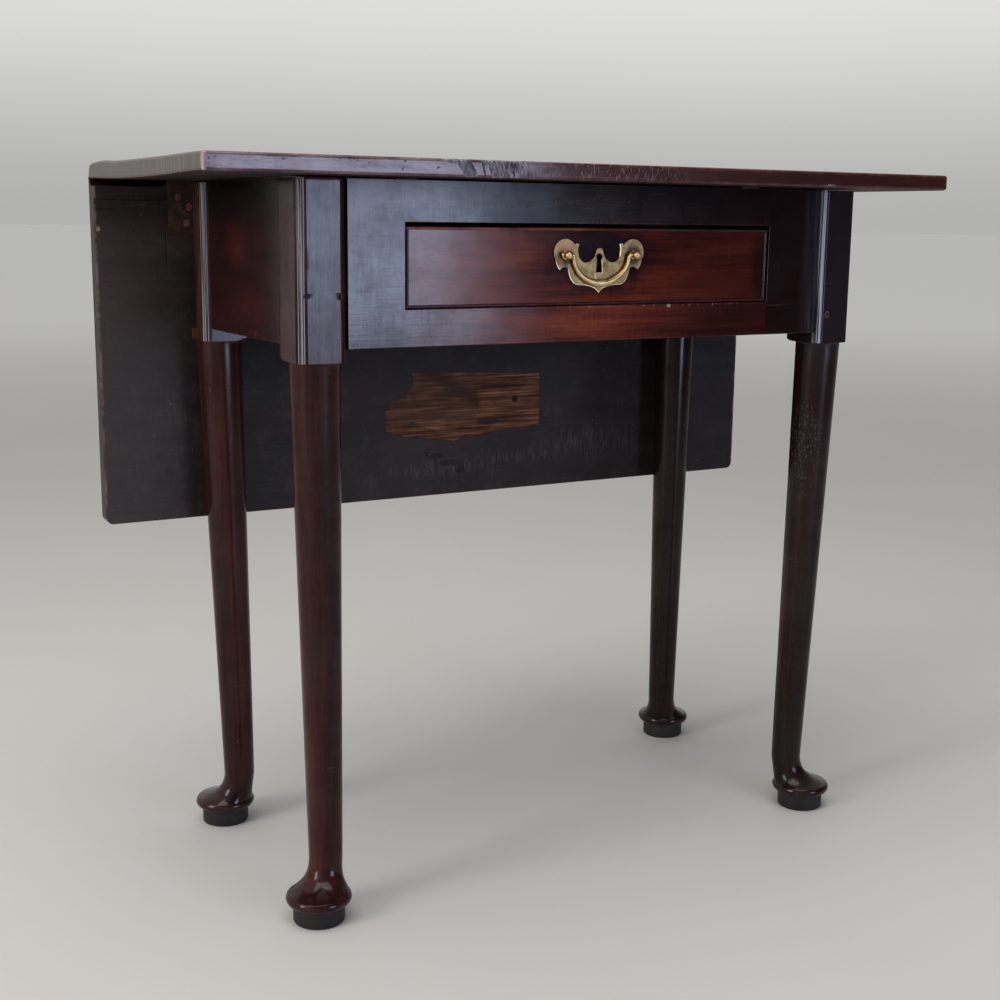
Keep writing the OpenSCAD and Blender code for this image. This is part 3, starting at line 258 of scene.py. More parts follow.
def new_material(name, seed):
    return Shader(bpy.data.materials.new(name), seed)


MAHOGANY = [(0.36, (0.0075, 0.0025, 0.0026)), (0.46, (0.018, 0.0045, 0.004)),
            (0.55, (0.034, 0.0076, 0.0058)), (0.68, (0.062, 0.014, 0.0088))]
VENEER = [(0.36, (0.014, 0.0026, 0.0026)), (0.45, (0.056, 0.009, 0.0058)),
          (0.54, (0.12, 0.021, 0.0105)), (0.66, (0.21, 0.047, 0.019))]
CRIMSON = [(0.36, (0.006, 0.0018, 0.0022)), (0.46, (0.014, 0.0034, 0.0035)),
           (0.55, (0.025, 0.0054, 0.005)), (0.68, (0.044, 0.0095, 0.0072))]
DARK = [(0.36, (0.0042, 0.002, 0.0023)), (0.46, (0.0088, 0.003, 0.0032)),
        (0.55, (0.0155, 0.0047, 0.0046)), (0.68, (0.028, 0.0085, 0.007))]
HIDDEN = [(0.3, (0.014, 0.0075, 0.0062)), (0.55, (0.027, 0.014, 0.0105)), (0.75, (0.05, 0.027, 0.019))]
LEAF_INNER = [(0.3, (0.011, 0.008, 0.0086)), (0.55, (0.0215, 0.015, 0.0158)), (0.75, (0.041, 0.0275, 0.0265))]
LEDGE = [(0.4, (0.0055, 0.0042, 0.0048)), (0.55, (0.015, 0.012, 0.0145)), (0.66, (0.075, 0.068, 0.082))]
END_GRAIN = [(0.36, (0.066, 0.058, 0.055)), (0.5, (0.088, 0.079, 0.074)), (0.64, (0.112, 0.102, 0.096))]
LEAF_END = [(0.36, (0.014, 0.011, 0.011)), (0.5, (0.032, 0.027, 0.026)), (0.64, (0.06, 0.05, 0.047))]
GOUGE = [(0.36, (0.016, 0.012, 0.015)), (0.5, (0.095, 0.082, 0.1)), (0.64, (0.225, 0.2, 0.235))]
SHOE = [(0.3, (0.006, 0.005, 0.0052)), (0.55, (0.011, 0.0088, 0.0088)), (0.75, (0.02, 0.0155, 0.015))]
PATCH = [(0.36, (0.01, 0.0045, 0.0032)), (0.45, (0.058, 0.021, 0.009)),
         (0.54, (0.125, 0.048, 0.02)), (0.66, (0.235, 0.108, 0.05))]
OAK = [(0.25, (0.11, 0.062, 0.03)), (0.5, (0.205, 0.128, 0.066)), (0.75, (0.3, 0.205, 0.115))]
PINE = [(0.25, (0.17, 0.098, 0.042)), (0.5, (0.3, 0.19, 0.092)), (0.75, (0.42, 0.29, 0.16))]
RUST = [(0.3, (0.016, 0.0095, 0.0078)), (0.5, (0.042, 0.02, 0.0145)), (0.7, (0.1, 0.044, 0.028))]
OLIVE = [(0.28, (0.125, 0.078, 0.031)), (0.5, (0.235, 0.155, 0.066)), (0.74, (0.38, 0.268, 0.13))]
GOLD = [(0.28, (0.43, 0.28, 0.12)), (0.5, (0.64, 0.44, 0.205)), (0.74, (0.82, 0.6, 0.31))]
PALE = [(0.28, (0.56, 0.42, 0.24)), (0.5, (0.78, 0.63, 0.4)), (0.74, (0.9, 0.77, 0.56))]


def lighter(stops, amount):
    return [(place, tuple(amount * v for v in colour)) for place, colour in stops]


def clouded(s, level, depth=0.38):
    """The polish's gloss in clouds, with fine rubbed threads through it."""
    cloud = s.noise(s.scaled((15.0, 15.0, 20.0), 41.0), 7.0, 0.68)
    thread = s.noise(s.scaled((800.0, 800.0, 40.0), 42.0), 2.0, 0.5)
    both = s.plus(s.times(cloud, 0.74), s.times(thread, 0.26))
    return s.times(s.step(both, 0.38, 0.62, 1.0 - depth, 1.0 + 0.5 * depth), level)


def sheen(low, high, left, right):
    """Gloss of the front: it falls from left to right between low and high, and is dull under the top."""
    def level(s):
        x, y, z = s.axes()
        dull = s.ragged(z, 0.672, 0.695, 0.02, 30.0, 21.0)
        return s.times(s.step(x, low, high, left, right), s.minus(1.0, s.times(dull, 0.45)))
    return level


def polished(name, grain, seed, stops=MAHOGANY, box=None, rough=0.2, figure=11.0, worn=(0.165, 0.048, 0.024),
             edge=0.004, wear=0.7, extra=None, coat=0.1, gloss=0.25):
    """Old polished mahogany: figure, streaks and pores along the grain, grime, rubbed edges and scratches."""
    s = new_material(name, seed)
    bands = s.noise(s.along(grain, 1.9, figure), 6.0, 0.62, 0.25)
    streaks = s.noise(s.along(grain, 6.0, 190.0, 1.0), 4.0, 0.62)
    ribbon = s.noise(s.along(grain, 8.0, 55.0, 2.0), 4.0, 0.6, 0.2)
    tone = s.plus(s.times(streaks, 0.3), s.times(ribbon, 0.32))
    s.colour = s.ramp(s.plus(s.times(bands, 0.38), tone), stops)
    pores = s.patches(s.along(grain, 60.0, 1500.0, 4.0), 2.0, 0.5, 0.58, 0.7)
    s.tint(pores, (0.005, 0.0025, 0.0026), 0.35)
    grime = s.patches(s.along(grain, 3.0, 8.0, 5.0), 4.0, 0.55, 0.42, 0.8)
    s.tint(grime, (0.006, 0.003, 0.0034), 0.5)
    mask = s.edges(*box, edge) if box else s.attribute("wear")
    broken = s.patches(s.scaled(60.0, 6.0), 4.0, 0.65, 0.36, 0.66)
    rubbed = s.times(mask, broken, clamp=True)
    s.tint(rubbed, worn, wear)
    scratch = s.patches(s.scaled((9.0, 420.0, 420.0), 7.0, (0.2, 0.5, 0.7)), 0.0, 0.5, 0.8, 0.86)
    fleck = s.patches(s.scaled(260.0, 8.0), 1.0, 0.5, 0.765, 0.8)
    lines = s.math("MAXIMUM", scratch, fleck)
    s.tint(lines, (0.11, 0.07, 0.062), 0.22)
    dull = s.noise(s.along(grain, 4.0, 13.0, 9.0))
    s.rough = s.step(dull, 0.3, 0.75, rough - 0.03, rough + 0.05)
    s.roughen(lines, 0.1, False)
    s.roughen(rubbed, 0.1)
    s.bump(s.noise(s.scaled(9.0, 10.0), 2.0, 0.5), 0.0003)
    fibre = s.noise(s.along(grain, 9.0, 420.0, 3.0), 3.0, 0.6)
    weave = s.noise(s.scaled((700.0, 700.0, 45.0), 43.0), 3.0, 0.6)
    weave = s.step(s.plus(s.times(fibre, 0.6), s.times(weave, 0.4)), 0.44, 0.6)
    s.tint(weave, (0.006, 0.0026, 0.003), 0.34)
    s.bump(s.minus(s.times(s.plus(streaks, fibre), 0.6), s.times(pores, 0.12)), 0.0001)
    if extra:
        extra(s)
    level = clouded(s, gloss(s) if callable(gloss) else gloss)
    return s.finish(Coat_Weight=coat, Coat_Roughness=0.12, Specular_IOR_Level=level)


def plain_wood(name, grain, seed, stops, rough=0.62, long=2.2, wide=34.0, extra=None, gloss=0.3):
    """Wood that was never polished: grain, grey dust and saw lines."""
    s = new_material(name, seed)
    tone = s.noise(s.along(grain, long, wide), 4.0, 0.6, 0.5)
    s.colour = s.ramp(tone, stops)
    dust = s.patches(s.scaled(5.0, 2.0), 5.0, 0.6, 0.42, 0.75)
    s.tint(dust, tuple(0.6 * v + 0.014 for v in stops[-1][1]), 0.4)
    saw = s.noise(s.along(grain, 3.0, 330.0, 3.0), 2.0, 0.5)
    s.bump(s.plus(saw, tone), 0.0003)
    s.rough = s.step(tone, 0.25, 0.75, rough - 0.06, rough + 0.08)
    if extra:
        extra(s)
    return s.finish(Specular_IOR_Level=gloss)


def dry_wood(name, grain, seed, stops, rings=26.0, pore=0.5):
    """Bare secondary wood, with growth bands, flecks, saw marks and grey dust."""
    s = new_material(name, seed)
    bands = s.noise(s.along(grain, 0.9, rings), 3.0, 0.5, 0.9)
    streaks = s.noise(s.along(grain, 7.0, 260.0, 1.0), 3.0, 0.6)
    s.colour = s.ramp(s.plus(s.times(bands, 0.65), s.times(streaks, 0.35)), stops)
    pores = s.patches(s.along(grain, 40.0, 1000.0, 2.0), 1.0, 0.5, 0.6, 0.72)
    s.tint(pores, (0.05, 0.03, 0.016), pore)
    dirt = s.patches(s.scaled(9.0, 5.0), 5.0, 0.65, 0.45, 0.75)
    s.tint(dirt, (0.075, 0.05, 0.034), 0.5)
    s.bump(s.minus(streaks, pores), 0.00018)
    s.rough = s.step(streaks, 0.3, 0.7, 0.64, 0.82)
    return s.finish(Specular_IOR_Level=0.3)


def old_iron(name, seed, stops=RUST, extra=None):
    """Rusty wrought iron."""
    s = new_material(name, seed)
    blotch = s.noise(s.scaled(120.0), 5.0, 0.7)
    s.colour = s.ramp(blotch, stops)
    fine = s.noise(s.scaled(900.0, 2.0), 3.0, 0.6)
    s.bump(s.plus(blotch, s.times(fine, 0.4)), 0.0003)
    s.rough = s.step(blotch, 0.3, 0.7, 0.45, 0.75)
    if extra:
        extra(s)
    return s.finish(Metallic=0.35)


def aged_brass(name, seed, stops, dirt, patches=(), rough=0.36, extra=None, relief=0.00003):
    """Old brass: tarnish, stains, spots that the caller gives (on the backplate: painted shadow round the posts
    and coppery stains), polished high spots and fine scratches.
    """
    s = new_material(name, seed)
    tone = s.noise(s.scaled(140.0), 4.0, 0.6)
    s.colour = s.ramp(tone, stops)
    stain = s.patches(s.scaled(75.0, 2.0), 5.0, 0.7, 0.44, 0.7)
    s.tint(stain, (0.08, 0.052, 0.028), dirt)
    # Spots that the caller gives: on the backplate, painted shadow round the posts and coppery stains
    for centre, size, tint, amount in patches:
        s.tint(s.spot(centre, size, 0.5, 200.0), tint, amount)
    brush = s.patches(s.scaled((60.0, 1500.0, 1500.0), 4.0, (0.3, 0.4, 0.9)), 1.0, 0.5, 0.62, 0.76)
    s.rough = s.step(tone, 0.25, 0.75, rough - 0.08, rough + 0.1)
    s.roughen(stain, 0.18)
    s.bump(s.plus(tone, s.times(brush, 0.2)), relief)
    if extra:
        extra(s)
    return s.finish(Metallic=1.0)


# Marks on the surfaces

# The bare patch inside the leaf: its left side from low to high, and its lower side from left to right
PATCH_LEFT = ((0.0, 0.98), (1.0, 0.44), (0.06, 0.75), (0.14, 0.33), (0.21, 0.1), (0.46, 0.09), (0.6, 0.17),
              (0.63, 0.33), (0.8, 0.44))
PATCH_LOW = ((0.0, 1.0), (1.0, 0.8), (0.06, 0.9), (0.15, 0.62), (0.44, 0.18), (0.57, 0.32), (0.71, 0.62),
             (0.93, 0.76))


def leaf_inner_marks(s):
    """The leaf's hidden face has a scraped bare patch, cracks, scribed lines and stains."""
    x, y, z = s.axes()

    def on_face(x0, z0, width, height, rim, grain, soft=0.35):
        return s.spot((x0, LEAF_FACE_Y, z0), (width, 0.02, height), rim, grain, soft)

    fine = s.noise(s.scaled((70.0, 1.0, 150.0), 13.0), 4.0, 0.65)
    fine = s.times(s.minus(fine, 0.5), 0.016)
    # Brown blotches; painted shade high up behind the frame, darker towards the right, and painted light beyond
    # the left leg
    blotch = s.patches(s.scaled((11.0, 1.0, 16.0), 12.0), 5.0, 0.65, 0.46, 0.66)
    s.tint(blotch, (0.032, 0.0165, 0.0135), 0.4)
    dust = s.patches(s.scaled((34.0, 1.0, 42.0), 19.0), 7.0, 0.72, 0.44, 0.66)
    thread = s.patches(s.scaled((420.0, 1.0, 60.0), 21.0, (0.0, 0.12, 0.0)), 3.0, 0.6, 0.44, 0.64)
    dust = s.times(dust, s.plus(s.times(thread, 0.7), 0.3))
    s.tint(dust, (0.062, 0.053, 0.058), 0.42)
    s.tint(on_face(-0.135, 0.468, 0.045, 0.012, 0.8, (30.0, 30.0, 40.0), 0.5), (0.04, 0.011, 0.0085), 0.5)
    for place in ((-0.02, 0.372, 0.055, 0.01), (0.19, 0.392, 0.06, 0.016), (0.095, 0.38, 0.04, 0.008)):
        worn = on_face(*place, 1.1, (70.0, 70.0, 110.0), 0.5)
        s.tint(s.times(worn, thread), (0.085, 0.075, 0.075), 0.5)
    # Painted shade: darker high up behind the frame; the face also darkens towards the right
    high = s.times(s.step(z, 0.4, 0.56), s.step(x, -0.33, -0.27))
    right = s.times(s.step(x, -0.1, 0.33), 0.35)
    s.tint(s.math("MAXIMUM", s.times(high, 0.72), right), (0.0018, 0.0012, 0.0015))
    # Painted light: the face beyond the left leg is paler, most of all low down
    outer = s.times(s.fall(x, -0.4, -0.3), s.step(z, 0.56, 0.69, 1.0, 0.1))
    s.tint(outer, (0.075, 0.062, 0.067), 0.5)

    # The outline of the patch, with a frayed edge
    zf = s.plus(z, s.times(fine, 0.35))
    xf = s.plus(x, fine)
    left = s.plus(s.times(s.curve(z, 0.4, 0.49, PATCH_LEFT), 0.1), -0.1)
    low = s.plus(s.times(s.curve(x, -0.1, 0.12, PATCH_LOW), 0.02), 0.4)
    inside = s.times(s.step(s.minus(xf, left), -0.0005, 0.001), s.step(s.minus(zf, low), -0.0003, 0.0008))
    under = s.fall(s.minus(zf, s.times(x, -0.045)), 0.483, 0.4842)
    inside = s.times(inside, s.times(under, s.fall(x, 0.1136, 0.1144)))

    # Its bare wood: a dark smear runs down to the right across it, and its left part is dirtier
    ground = s.colour
    comb = s.noise(s.scaled((14.0, 1.0, 560.0), 14.0, (0.0, -0.06, 0.0)), 3.0, 0.55, 0.7)
    broad = s.noise(s.scaled((22.0, 1.0, 60.0), 15.0), 5.0, 0.65, 0.8)
    s.colour = s.ramp(s.plus(s.times(comb, 0.62), s.times(broad, 0.38)), PATCH)
    smear = s.plus(s.times(x, 0.62), z)
    smear = s.math("ABSOLUTE", s.minus(s.plus(smear, fine), 0.466))
    s.tint(s.times(s.fall(smear, 0.003, 0.014), s.fall(x, 0.028, 0.036)), (0.013, 0.007, 0.0055), 0.85)
    s.tint(s.times(s.fall(x, 0.02, 0.034), s.step(z, 0.423, 0.43)), (0.042, 0.021, 0.015), 0.45)
    s.tint(on_face(0.044, 0.4245, 0.014, 0.0045, 0.3, 160.0, 0.2), (0.022, 0.009, 0.008), 0.8)
    s.tint(on_face(0.08, 0.4494, 0.0042, 0.0042, 0.8, 300.0), (0.01, 0.007, 0.006))
    s.tint(on_face(-0.0567, 0.426, 0.004, 0.0032, 0.8, 300.0), (0.024, 0.017, 0.018), 0.8)
    s.colour = s.mix(inside, ground, s.colour)

    halo = on_face(-0.03, 0.404, 0.075, 0.01, 0.5, 40.0, 0.5)
    s.tint(s.times(halo, s.minus(0.6, s.times(inside, 0.6))), (0.032, 0.017, 0.0165))
    for place in ((-0.025, 0.387, 0.01, 0.003), (-0.008, 0.378, 0.014, 0.004),
                  (0.006, 0.368, 0.006, 0.004), (-0.037, 0.392, 0.004, 0.005)):
        s.tint(on_face(*place, 0.9, 260.0), (0.004, 0.003, 0.003), 0.7)
    # Scribed lines: (axis across, axis along, place, start, stop, half width)
    lines = None
    for axis, other, at, start, stop, width in ((z, x, 0.6748, -0.42, -0.25, 0.0003),
                                                (z, x, 0.665, -0.42, -0.384, 0.0003),
                                                (x, z, -0.3388, 0.612, 0.645, 0.0004)):
        off = s.math("ABSOLUTE", s.minus(s.plus(axis, s.times(fine, 0.12)), at))
        ends = s.span(other, start, start + 0.003, stop - 0.003, stop)
        line = s.times(s.fall(off, width, width * 2.2), ends)
        lines = line if lines is None else s.math("MAXIMUM", lines, line)
    s.tint(lines, (0.0035, 0.0025, 0.0025), 0.6)
    rim = s.math("MINIMUM", s.plus(x, HALF * MM), s.minus(HALF * MM, x))
    broken = s.patches(s.scaled((1.0, 1.0, 55.0), 17.0), 4.0, 0.7, 0.36, 0.6)
    s.tint(s.times(s.fall(rim, 0.0005, 0.0032), broken), (0.26, 0.13, 0.12), 0.85)
    s.tint(on_face(-0.4085, 0.6454, 0.002, 0.0022, 0.6, 300.0), (0.3, 0.2, 0.18), 0.8)
    s.tint(s.patches(s.scaled(210.0, 18.0), 1.0, 0.5, 0.745, 0.785), (0.11, 0.085, 0.075), 0.35)
    s.roughen(inside, 0.12)
    sunk = s.plus(s.times(inside, 1.6), lines)
    s.bump(s.minus(s.times(s.times(comb, inside), 1.4), sunk), 0.0006)


def hinge_stains(s):
    """Dark rings round the countersunk screws of the hinges' long flaps."""
    for hx in HINGES:
        for dx, dz in LEAF_SCREWS:
            centre = ((hx + dx) * MM, LEAF_FACE_Y, (HINGE_Z - dz) * MM)
            s.tint(s.spot(centre, (0.0054, 0.02, 0.0054), 0.25, 300.0, 0.14), (0.007, 0.0045, 0.004), 0.85)


def handle_grime(s):
    """Dark, bluish grime round the backplate; darker along the top and towards the right end; a redder lower
    right part.
    """
    x, y, z = s.axes()
    face = HANDLE_Y * MM
    glow = s.spot((0.125, face, 0.597), (0.085, 0.05, 0.016), 0.7, (20.0, 20.0, 60.0), 0.6)
    s.tint(glow, (0.105, 0.019, 0.0085), 0.45)
    high = s.ragged(z, 0.64, 0.652, 0.012, (25.0, 25.0, 60.0), 20.0)
    right = s.ragged(x, 0.02, 0.15, 0.08, (12.0, 12.0, 40.0), 19.0)
    s.tint(s.math("MAXIMUM", s.times(high, 0.6), s.times(right, 0.55)), (0.0085, 0.0022, 0.003))
    warm = s.ragged(x, -0.15, -0.05, 0.05, (14.0, 14.0, 60.0), 29.0)
    s.tint(s.minus(0.45, s.times(warm, 0.45)), (0.17, 0.048, 0.034))
    ring = s.spot((HANDLE_X * MM, face, (HANDLE_Z - 4) * MM), (0.062, 0.05, 0.031), 0.9, 60.0, 0.34)
    s.tint(ring, (0.0052, 0.0034, 0.006), 0.85)
    end = s.spot((0.196, face, 0.612), (0.012, 0.05, 0.04), 0.8, 60.0, 0.5)
    s.tint(end, (0.005, 0.0034, 0.004), 0.7)


def front_marks_and_painted_light(s):
    """Painted shade under the top, darker to the right, a painted highlight near the right stile's outer edge,
    and marks round the nick in the lower rail's upper edge.
    """
    x, y, z = s.axes()
    # Painted shade under the overhang of the top
    s.tint(s.ragged(z, 0.668, 0.694, 0.03, 30.0, 21.0), (0.004, 0.0026, 0.0032), 0.7)
    s.tint(s.ragged(x, 0.03, 0.17, 0.1, (10.0, 10.0, 50.0), 24.0), (0.007, 0.0018, 0.002), 0.75)
    left = s.ragged(x, -0.2, -0.12, 0.04, (10.0, 10.0, 50.0), 28.0)
    s.tint(s.minus(0.75, s.times(left, 0.75)), (0.024, 0.0062, 0.0055))
    # Painted highlight: bluish gleaming streaks near the right stile's outer edge
    gleam = s.patches(s.scaled((260.0, 1.0, 12.0), 30.0), 4.0, 0.7, 0.3, 0.75)
    s.tint(s.times(gleam, s.step(x, 0.242, 0.264)), (0.03, 0.029, 0.04), 0.8)
    nick = s.spot((0.0774, -0.1433, 0.5768), (0.0024, 0.01, 0.0017), 0.9, 400.0)
    s.tint(nick, (0.32, 0.19, 0.165), 0.8)
    ticks = s.patches(s.scaled((300.0, 300.0, 400.0), 25.0), 1.0, 0.5, 0.6, 0.68)
    edge = s.times(s.span(z, 0.5755, 0.5772, 0.5776, 0.579), ticks)
    s.tint(s.times(edge, s.span(x, -0.08, -0.04, 0.14, 0.18)), (0.28, 0.16, 0.14), 0.5)


def side_grime_and_painted_shade(s):
    """A side apron has painted shade under the top, with a red glow in its middle and flecks near its lower
    edge.
    """
    x, y, z = s.axes()
    s.tint(s.spot((-0.312, 0.02, 0.632), (0.05, 0.026, 0.017), 0.6, 30.0, 0.7), (0.06, 0.0075, 0.0055), 0.55)
    s.tint(s.spot((-0.312, -0.01, 0.575), (0.05, 0.045, 0.016), 0.6, 30.0, 0.7), (0.05, 0.0075, 0.0055), 0.4)
    # Painted shade under the overhang of the top
    s.tint(s.step(z, 0.632, 0.692, 0.0, 0.85), (0.003, 0.002, 0.0023))
    haze = s.noise(s.scaled(60.0, 27.0), 5.0, 0.65)
    s.tint(s.step(haze, 0.42, 0.62, 0.0, 0.35), (0.01, 0.0045, 0.0048))
    flecks = s.patches(s.scaled(300.0, 26.0), 1.0, 0.5, 0.7, 0.76)
    s.tint(s.times(flecks, s.step(z, 0.55, 0.6, 1.0, 0.25)), (0.19, 0.075, 0.04), 0.45)


def bead_marks(s):
    """The bead over the drawer is rubbed red towards its left, and the one at the right end carries a painted
    pale highlight.
    """
    x, y, z = s.axes()
    upper = s.times(s.step(z, 0.649, 0.65), s.fall(x, -0.12, 0.11))
    broken = s.patches(s.scaled(40.0, 27.0), 4.0, 0.6, 0.25, 0.6)
    s.tint(s.times(upper, broken), (0.21, 0.052, 0.026), 0.85)
    # Painted highlight along the bead at the right end
    right = s.times(s.step(x, 0.1984, 0.1992), s.fall(y, -0.143, -0.1422))
    s.tint(s.times(right, broken), (0.24, 0.165, 0.17), 0.7)


def top_marks(s):
    """Wear along the front edge: pale and dirty at the left, ticks beside the gouges, redder to the right."""
    x, y, z = s.axes()
    front = s.fall(y, -0.1795, -0.178)
    ticks = s.patches(s.scaled((560.0, 1.0, 150.0), 22.0, (0.0, 0.35, 0.0)), 1.0, 0.5, 0.56, 0.66)
    ticks = s.times(s.times(ticks, s.span(x, -0.112, -0.104, -0.05, 0.09)), front)
    s.tint(ticks, (0.25, 0.15, 0.12), 0.55)
    pale = s.patches(s.scaled((26.0, 1.0, 150.0), 24.0), 5.0, 0.65, 0.34, 0.6)
    s.tint(s.times(s.times(pale, front), s.fall(x, -0.115, -0.06)), (0.16, 0.108, 0.118), 0.85)
    s.tint(s.times(s.fall(x, -0.41, -0.4072), s.fall(y, -0.177, -0.1755)), (0.33, 0.24, 0.24), 0.75)
    s.tint(s.times(front, s.step(x, -0.11, -0.05)), (0.07, 0.02, 0.0165), 0.28)
    dots = s.patches(s.scaled((230.0, 230.0, 300.0), 23.0), 1.0, 0.5, 0.72, 0.76)
    dots = s.times(s.times(dots, front), s.fall(x, -0.19, -0.17))
    s.tint(dots, (0.006, 0.004, 0.005), 0.85)
    s.roughen(dots, 0.3)
    s.bump(s.minus(s.times(ticks, -1.0), dots), 0.0003)


def leg_marks(pale, scuff=None, strip=None, notches=(), dim=0.0):
    """Pale streaks on the mouldings, partly scuffs and partly a painted highlight, painted shade in their
    grooves, grime where the foot spreads, small scuffs and notches.
    """
    def extra(s):
        x, y, z = s.axes()
        if dim:
            s.tint(s.step(z, 0.5, 0.545, 0.0, dim), (0.015, 0.0118, 0.015))
        # Pale bluish streaks on the mouldings: scuffed polish, and partly a painted highlight
        mould = s.attribute("mould")
        thin = s.patches(s.scaled((1100.0, 1100.0, 5.0), 31.0), 2.0, 0.6, 0.42, 0.56)
        s.tint(s.times(thin, mould), (0.36, 0.37, 0.43), pale)
        s.roughen(mould, 0.12, False)
        # Painted shade in the grooves beside the mouldings
        s.tint(s.attribute("groove"), (0.002, 0.0014, 0.0018), 0.9)
        dirt = s.patches(s.scaled(60.0, 32.0), 4.0, 0.6, 0.35, 0.65)
        s.tint(s.times(s.span(z, 0.024, 0.03, 0.034, 0.052), dirt), (0.0045, 0.003, 0.0032), 0.7)
        for nx, nz in notches:
            notch = s.spot((nx * MM, -0.1462, nz * MM), (0.0019, 0.006, 0.0022), 0.7, 300.0, 0.3)
            s.tint(notch, (0.002, 0.0014, 0.0018))
            s.roughen(notch, 0.5)
        if scuff:
            flecks = s.patches(s.scaled((560.0, 560.0, 210.0), 33.0), 3.0, 0.7, 0.56, 0.66)
            flecks = s.times(s.spot(*scuff, 0.5, 40.0, 0.4), flecks)
            s.tint(flecks, (0.12, 0.094, 0.102), 0.45)
            s.roughen(flecks, 0.2)
        if strip:
            side = s.times(s.fall(x, *strip), s.step(z, 0.53, 0.54))
            side = s.times(side, s.patches(s.scaled((40.0, 40.0, 5.0), 34.0), 3.0, 0.6, 0.3, 0.65))
            s.tint(side, (0.085, 0.033, 0.013), 0.7)
    return extra


def scribe_line(s):
    """A pale scribed line below the keyhole."""
    x, y, z = s.axes()
    line = s.fall(s.math("ABSOLUTE", s.minus(x, (HANDLE_X - 4.0) * MM)), 0.00015, 0.0005)
    heights = [(HANDLE_Z + v) * MM for v in (-24.5, -23.5, -18, -17)]
    s.tint(s.times(line, s.span(z, *heights)), (0.6, 0.48, 0.33), 0.8)


# Tools for the pieces

def linked(name, data):
    """A new object in the scene."""
    obj = bpy.data.objects.new(name, data)
    SCENE.collection.objects.link(obj)
    return obj


def noise_at(x, y, z):
    return noise.noise(Vector((x, y, z)))


def circle(n):
    """Cosine and sine of n even steps round a circle."""
    return [(math.cos(2 * math.pi * i / n), math.sin(2 * math.pi * i / n)) for i in range(n)]


def dress(node, material):
    """A CAD node keeps its own shape and takes a better material."""
    for slot in NODES[node].material_slots:
        slot.material = material


def new_piece(name, body, materials, me):
    for material in materials:
        me.materials.append(material)
    obj = linked(name, me)
    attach(obj, body)
    return obj


def paint(obj, material, test):
    """Give the faces that pass a test of (normal, centre in mm) another material."""
    obj.data.materials.append(material)
    index = len(obj.data.materials) - 1
    for p in obj.data.polygons:
        if test(p.normal, p.center / MM):
            p.material_index = index


def shade(obj, angle=38.0, weighted=True):
    """Smooth shading, sharp where two faces meet at more than angle."""
    bm = bmesh.new()
    bm.from_mesh(obj.data)
    for f in bm.faces:
        f.smooth = True
    for e in bm.edges:
        e.smooth = not (len(e.link_faces) == 2 and e.calc_face_angle(0.0) > math.radians(angle))
    bm.to_mesh(obj.data)
    bm.free()
    if weighted:
        m = obj.modifiers.new("normals", "WEIGHTED_NORMAL")
        m.keep_sharp = True
        m.weight = 80


def eased(node, body, material, width, pick=None, segments=2, name=None, cut=None, cut_material=None,
          planes=(), edge_material=None, bend=None):
    """A copy of a CAD node with its outer edges rounded by width mm, split along planes, cut and bent."""
    bm = bmesh.new()
    bm.from_mesh(NODES[node].data)
    bmesh.ops.remove_doubles(bm, verts=bm.verts, dist=2e-6)
    bmesh.ops.dissolve_limit(bm, angle_limit=math.radians(0.4), verts=bm.verts, edges=bm.edges)
    name = name or node + "_wood"
    me = bpy.data.meshes.new(name)
    bm.to_mesh(me)
    bm.free()
    if cut:
        me = carved(me, cut)
    bm = bmesh.new()
    bm.from_mesh(me)
    for axis, value in planes:
        way = Vector([float(axis == a) for a in "xyz"])
        bmesh.ops.bisect_plane(bm, geom=bm.verts[:] + bm.edges[:] + bm.faces[:],
                               plane_co=way * (value * MM), plane_no=way, dist=1e-6)
    chosen = []
    for e in bm.edges if pick else ():
        a, b = [v.co for v in e.verts]
        sharp = len(e.link_faces) == 2 and e.is_convex and e.calc_face_angle(0.0) > math.radians(50)
        if sharp and e.calc_length() > 2 * MM and pick((a + b) / (2 * MM), (b - a).normalized()):
            chosen.append(e)
    if chosen:
        bmesh.ops.bevel(bm, geom=chosen, offset=width * MM, segments=segments, profile=0.5, affect="EDGES",
                        clamp_overlap=False, material=2 if edge_material else -1)
    if bend:
        for v in bm.verts:
            v.co += bend(v.co / MM) * MM
    bm.to_mesh(me)
    bm.free()
    materials = [material, cut_material or material] + ([edge_material] if edge_material else [])
    obj = new_piece(name, body, materials, me)
    shade(obj)
    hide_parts(node)
    return obj


def chip_mesh(chips, extra=None):
    """Closed lumps with rough faces, each (centre in mm, radii in mm, seed), to cut chips out of an edge."""
    bm = bmesh.new()
    for centre, radii, seed in chips:
        made = bmesh.ops.create_icosphere(bm, subdivisions=3, radius=1.0)
        for v in made["verts"]:
            k = 1.0 + 0.38 * noise.noise(v.co * 1.6 + Vector((seed, seed * 0.7, 3.0)))
            v.co = Vector([c * r * k for c, r in zip(v.co, radii)]) * MM + Vector(centre) * MM
    if extra:
        verts, faces = extra
        made = [bm.verts.new(Vector(v) * MM) for v in verts]
        for face in faces:
            bm.faces.new([made[i] for i in face])
    bmesh.ops.recalc_face_normals(bm, faces=bm.faces)
    for f in bm.faces:
        f.material_index = 1
    me = bpy.data.meshes.new("chips")
    bm.to_mesh(me)
    bm.free()
    return me


def carved(me, tool_mesh):
    """A mesh less a tool; the faces that the tool leaves get the second material."""
    tool = linked("tool", tool_mesh)
    work = linked("work", me)
    blank = bpy.data.materials.new("blank")
    for o in (tool, work):
        o.data.materials.append(blank)
        o.data.materials.append(blank)
    m = work.modifiers.new("cut", "BOOLEAN")
    m.operation = "DIFFERENCE"
    m.object = tool
    m.solver = "EXACT"
    bpy.context.view_layer.update()
    out = bpy.data.meshes.new_from_object(work.evaluated_get(bpy.context.evaluated_depsgraph_get()))
    index = [p.material_index for p in out.polygons]
    out.materials.clear()
    for p, i in zip(out.polygons, index):
        p.material_index = i
    for o in (tool, work):
        bpy.data.objects.remove(o)
    return out


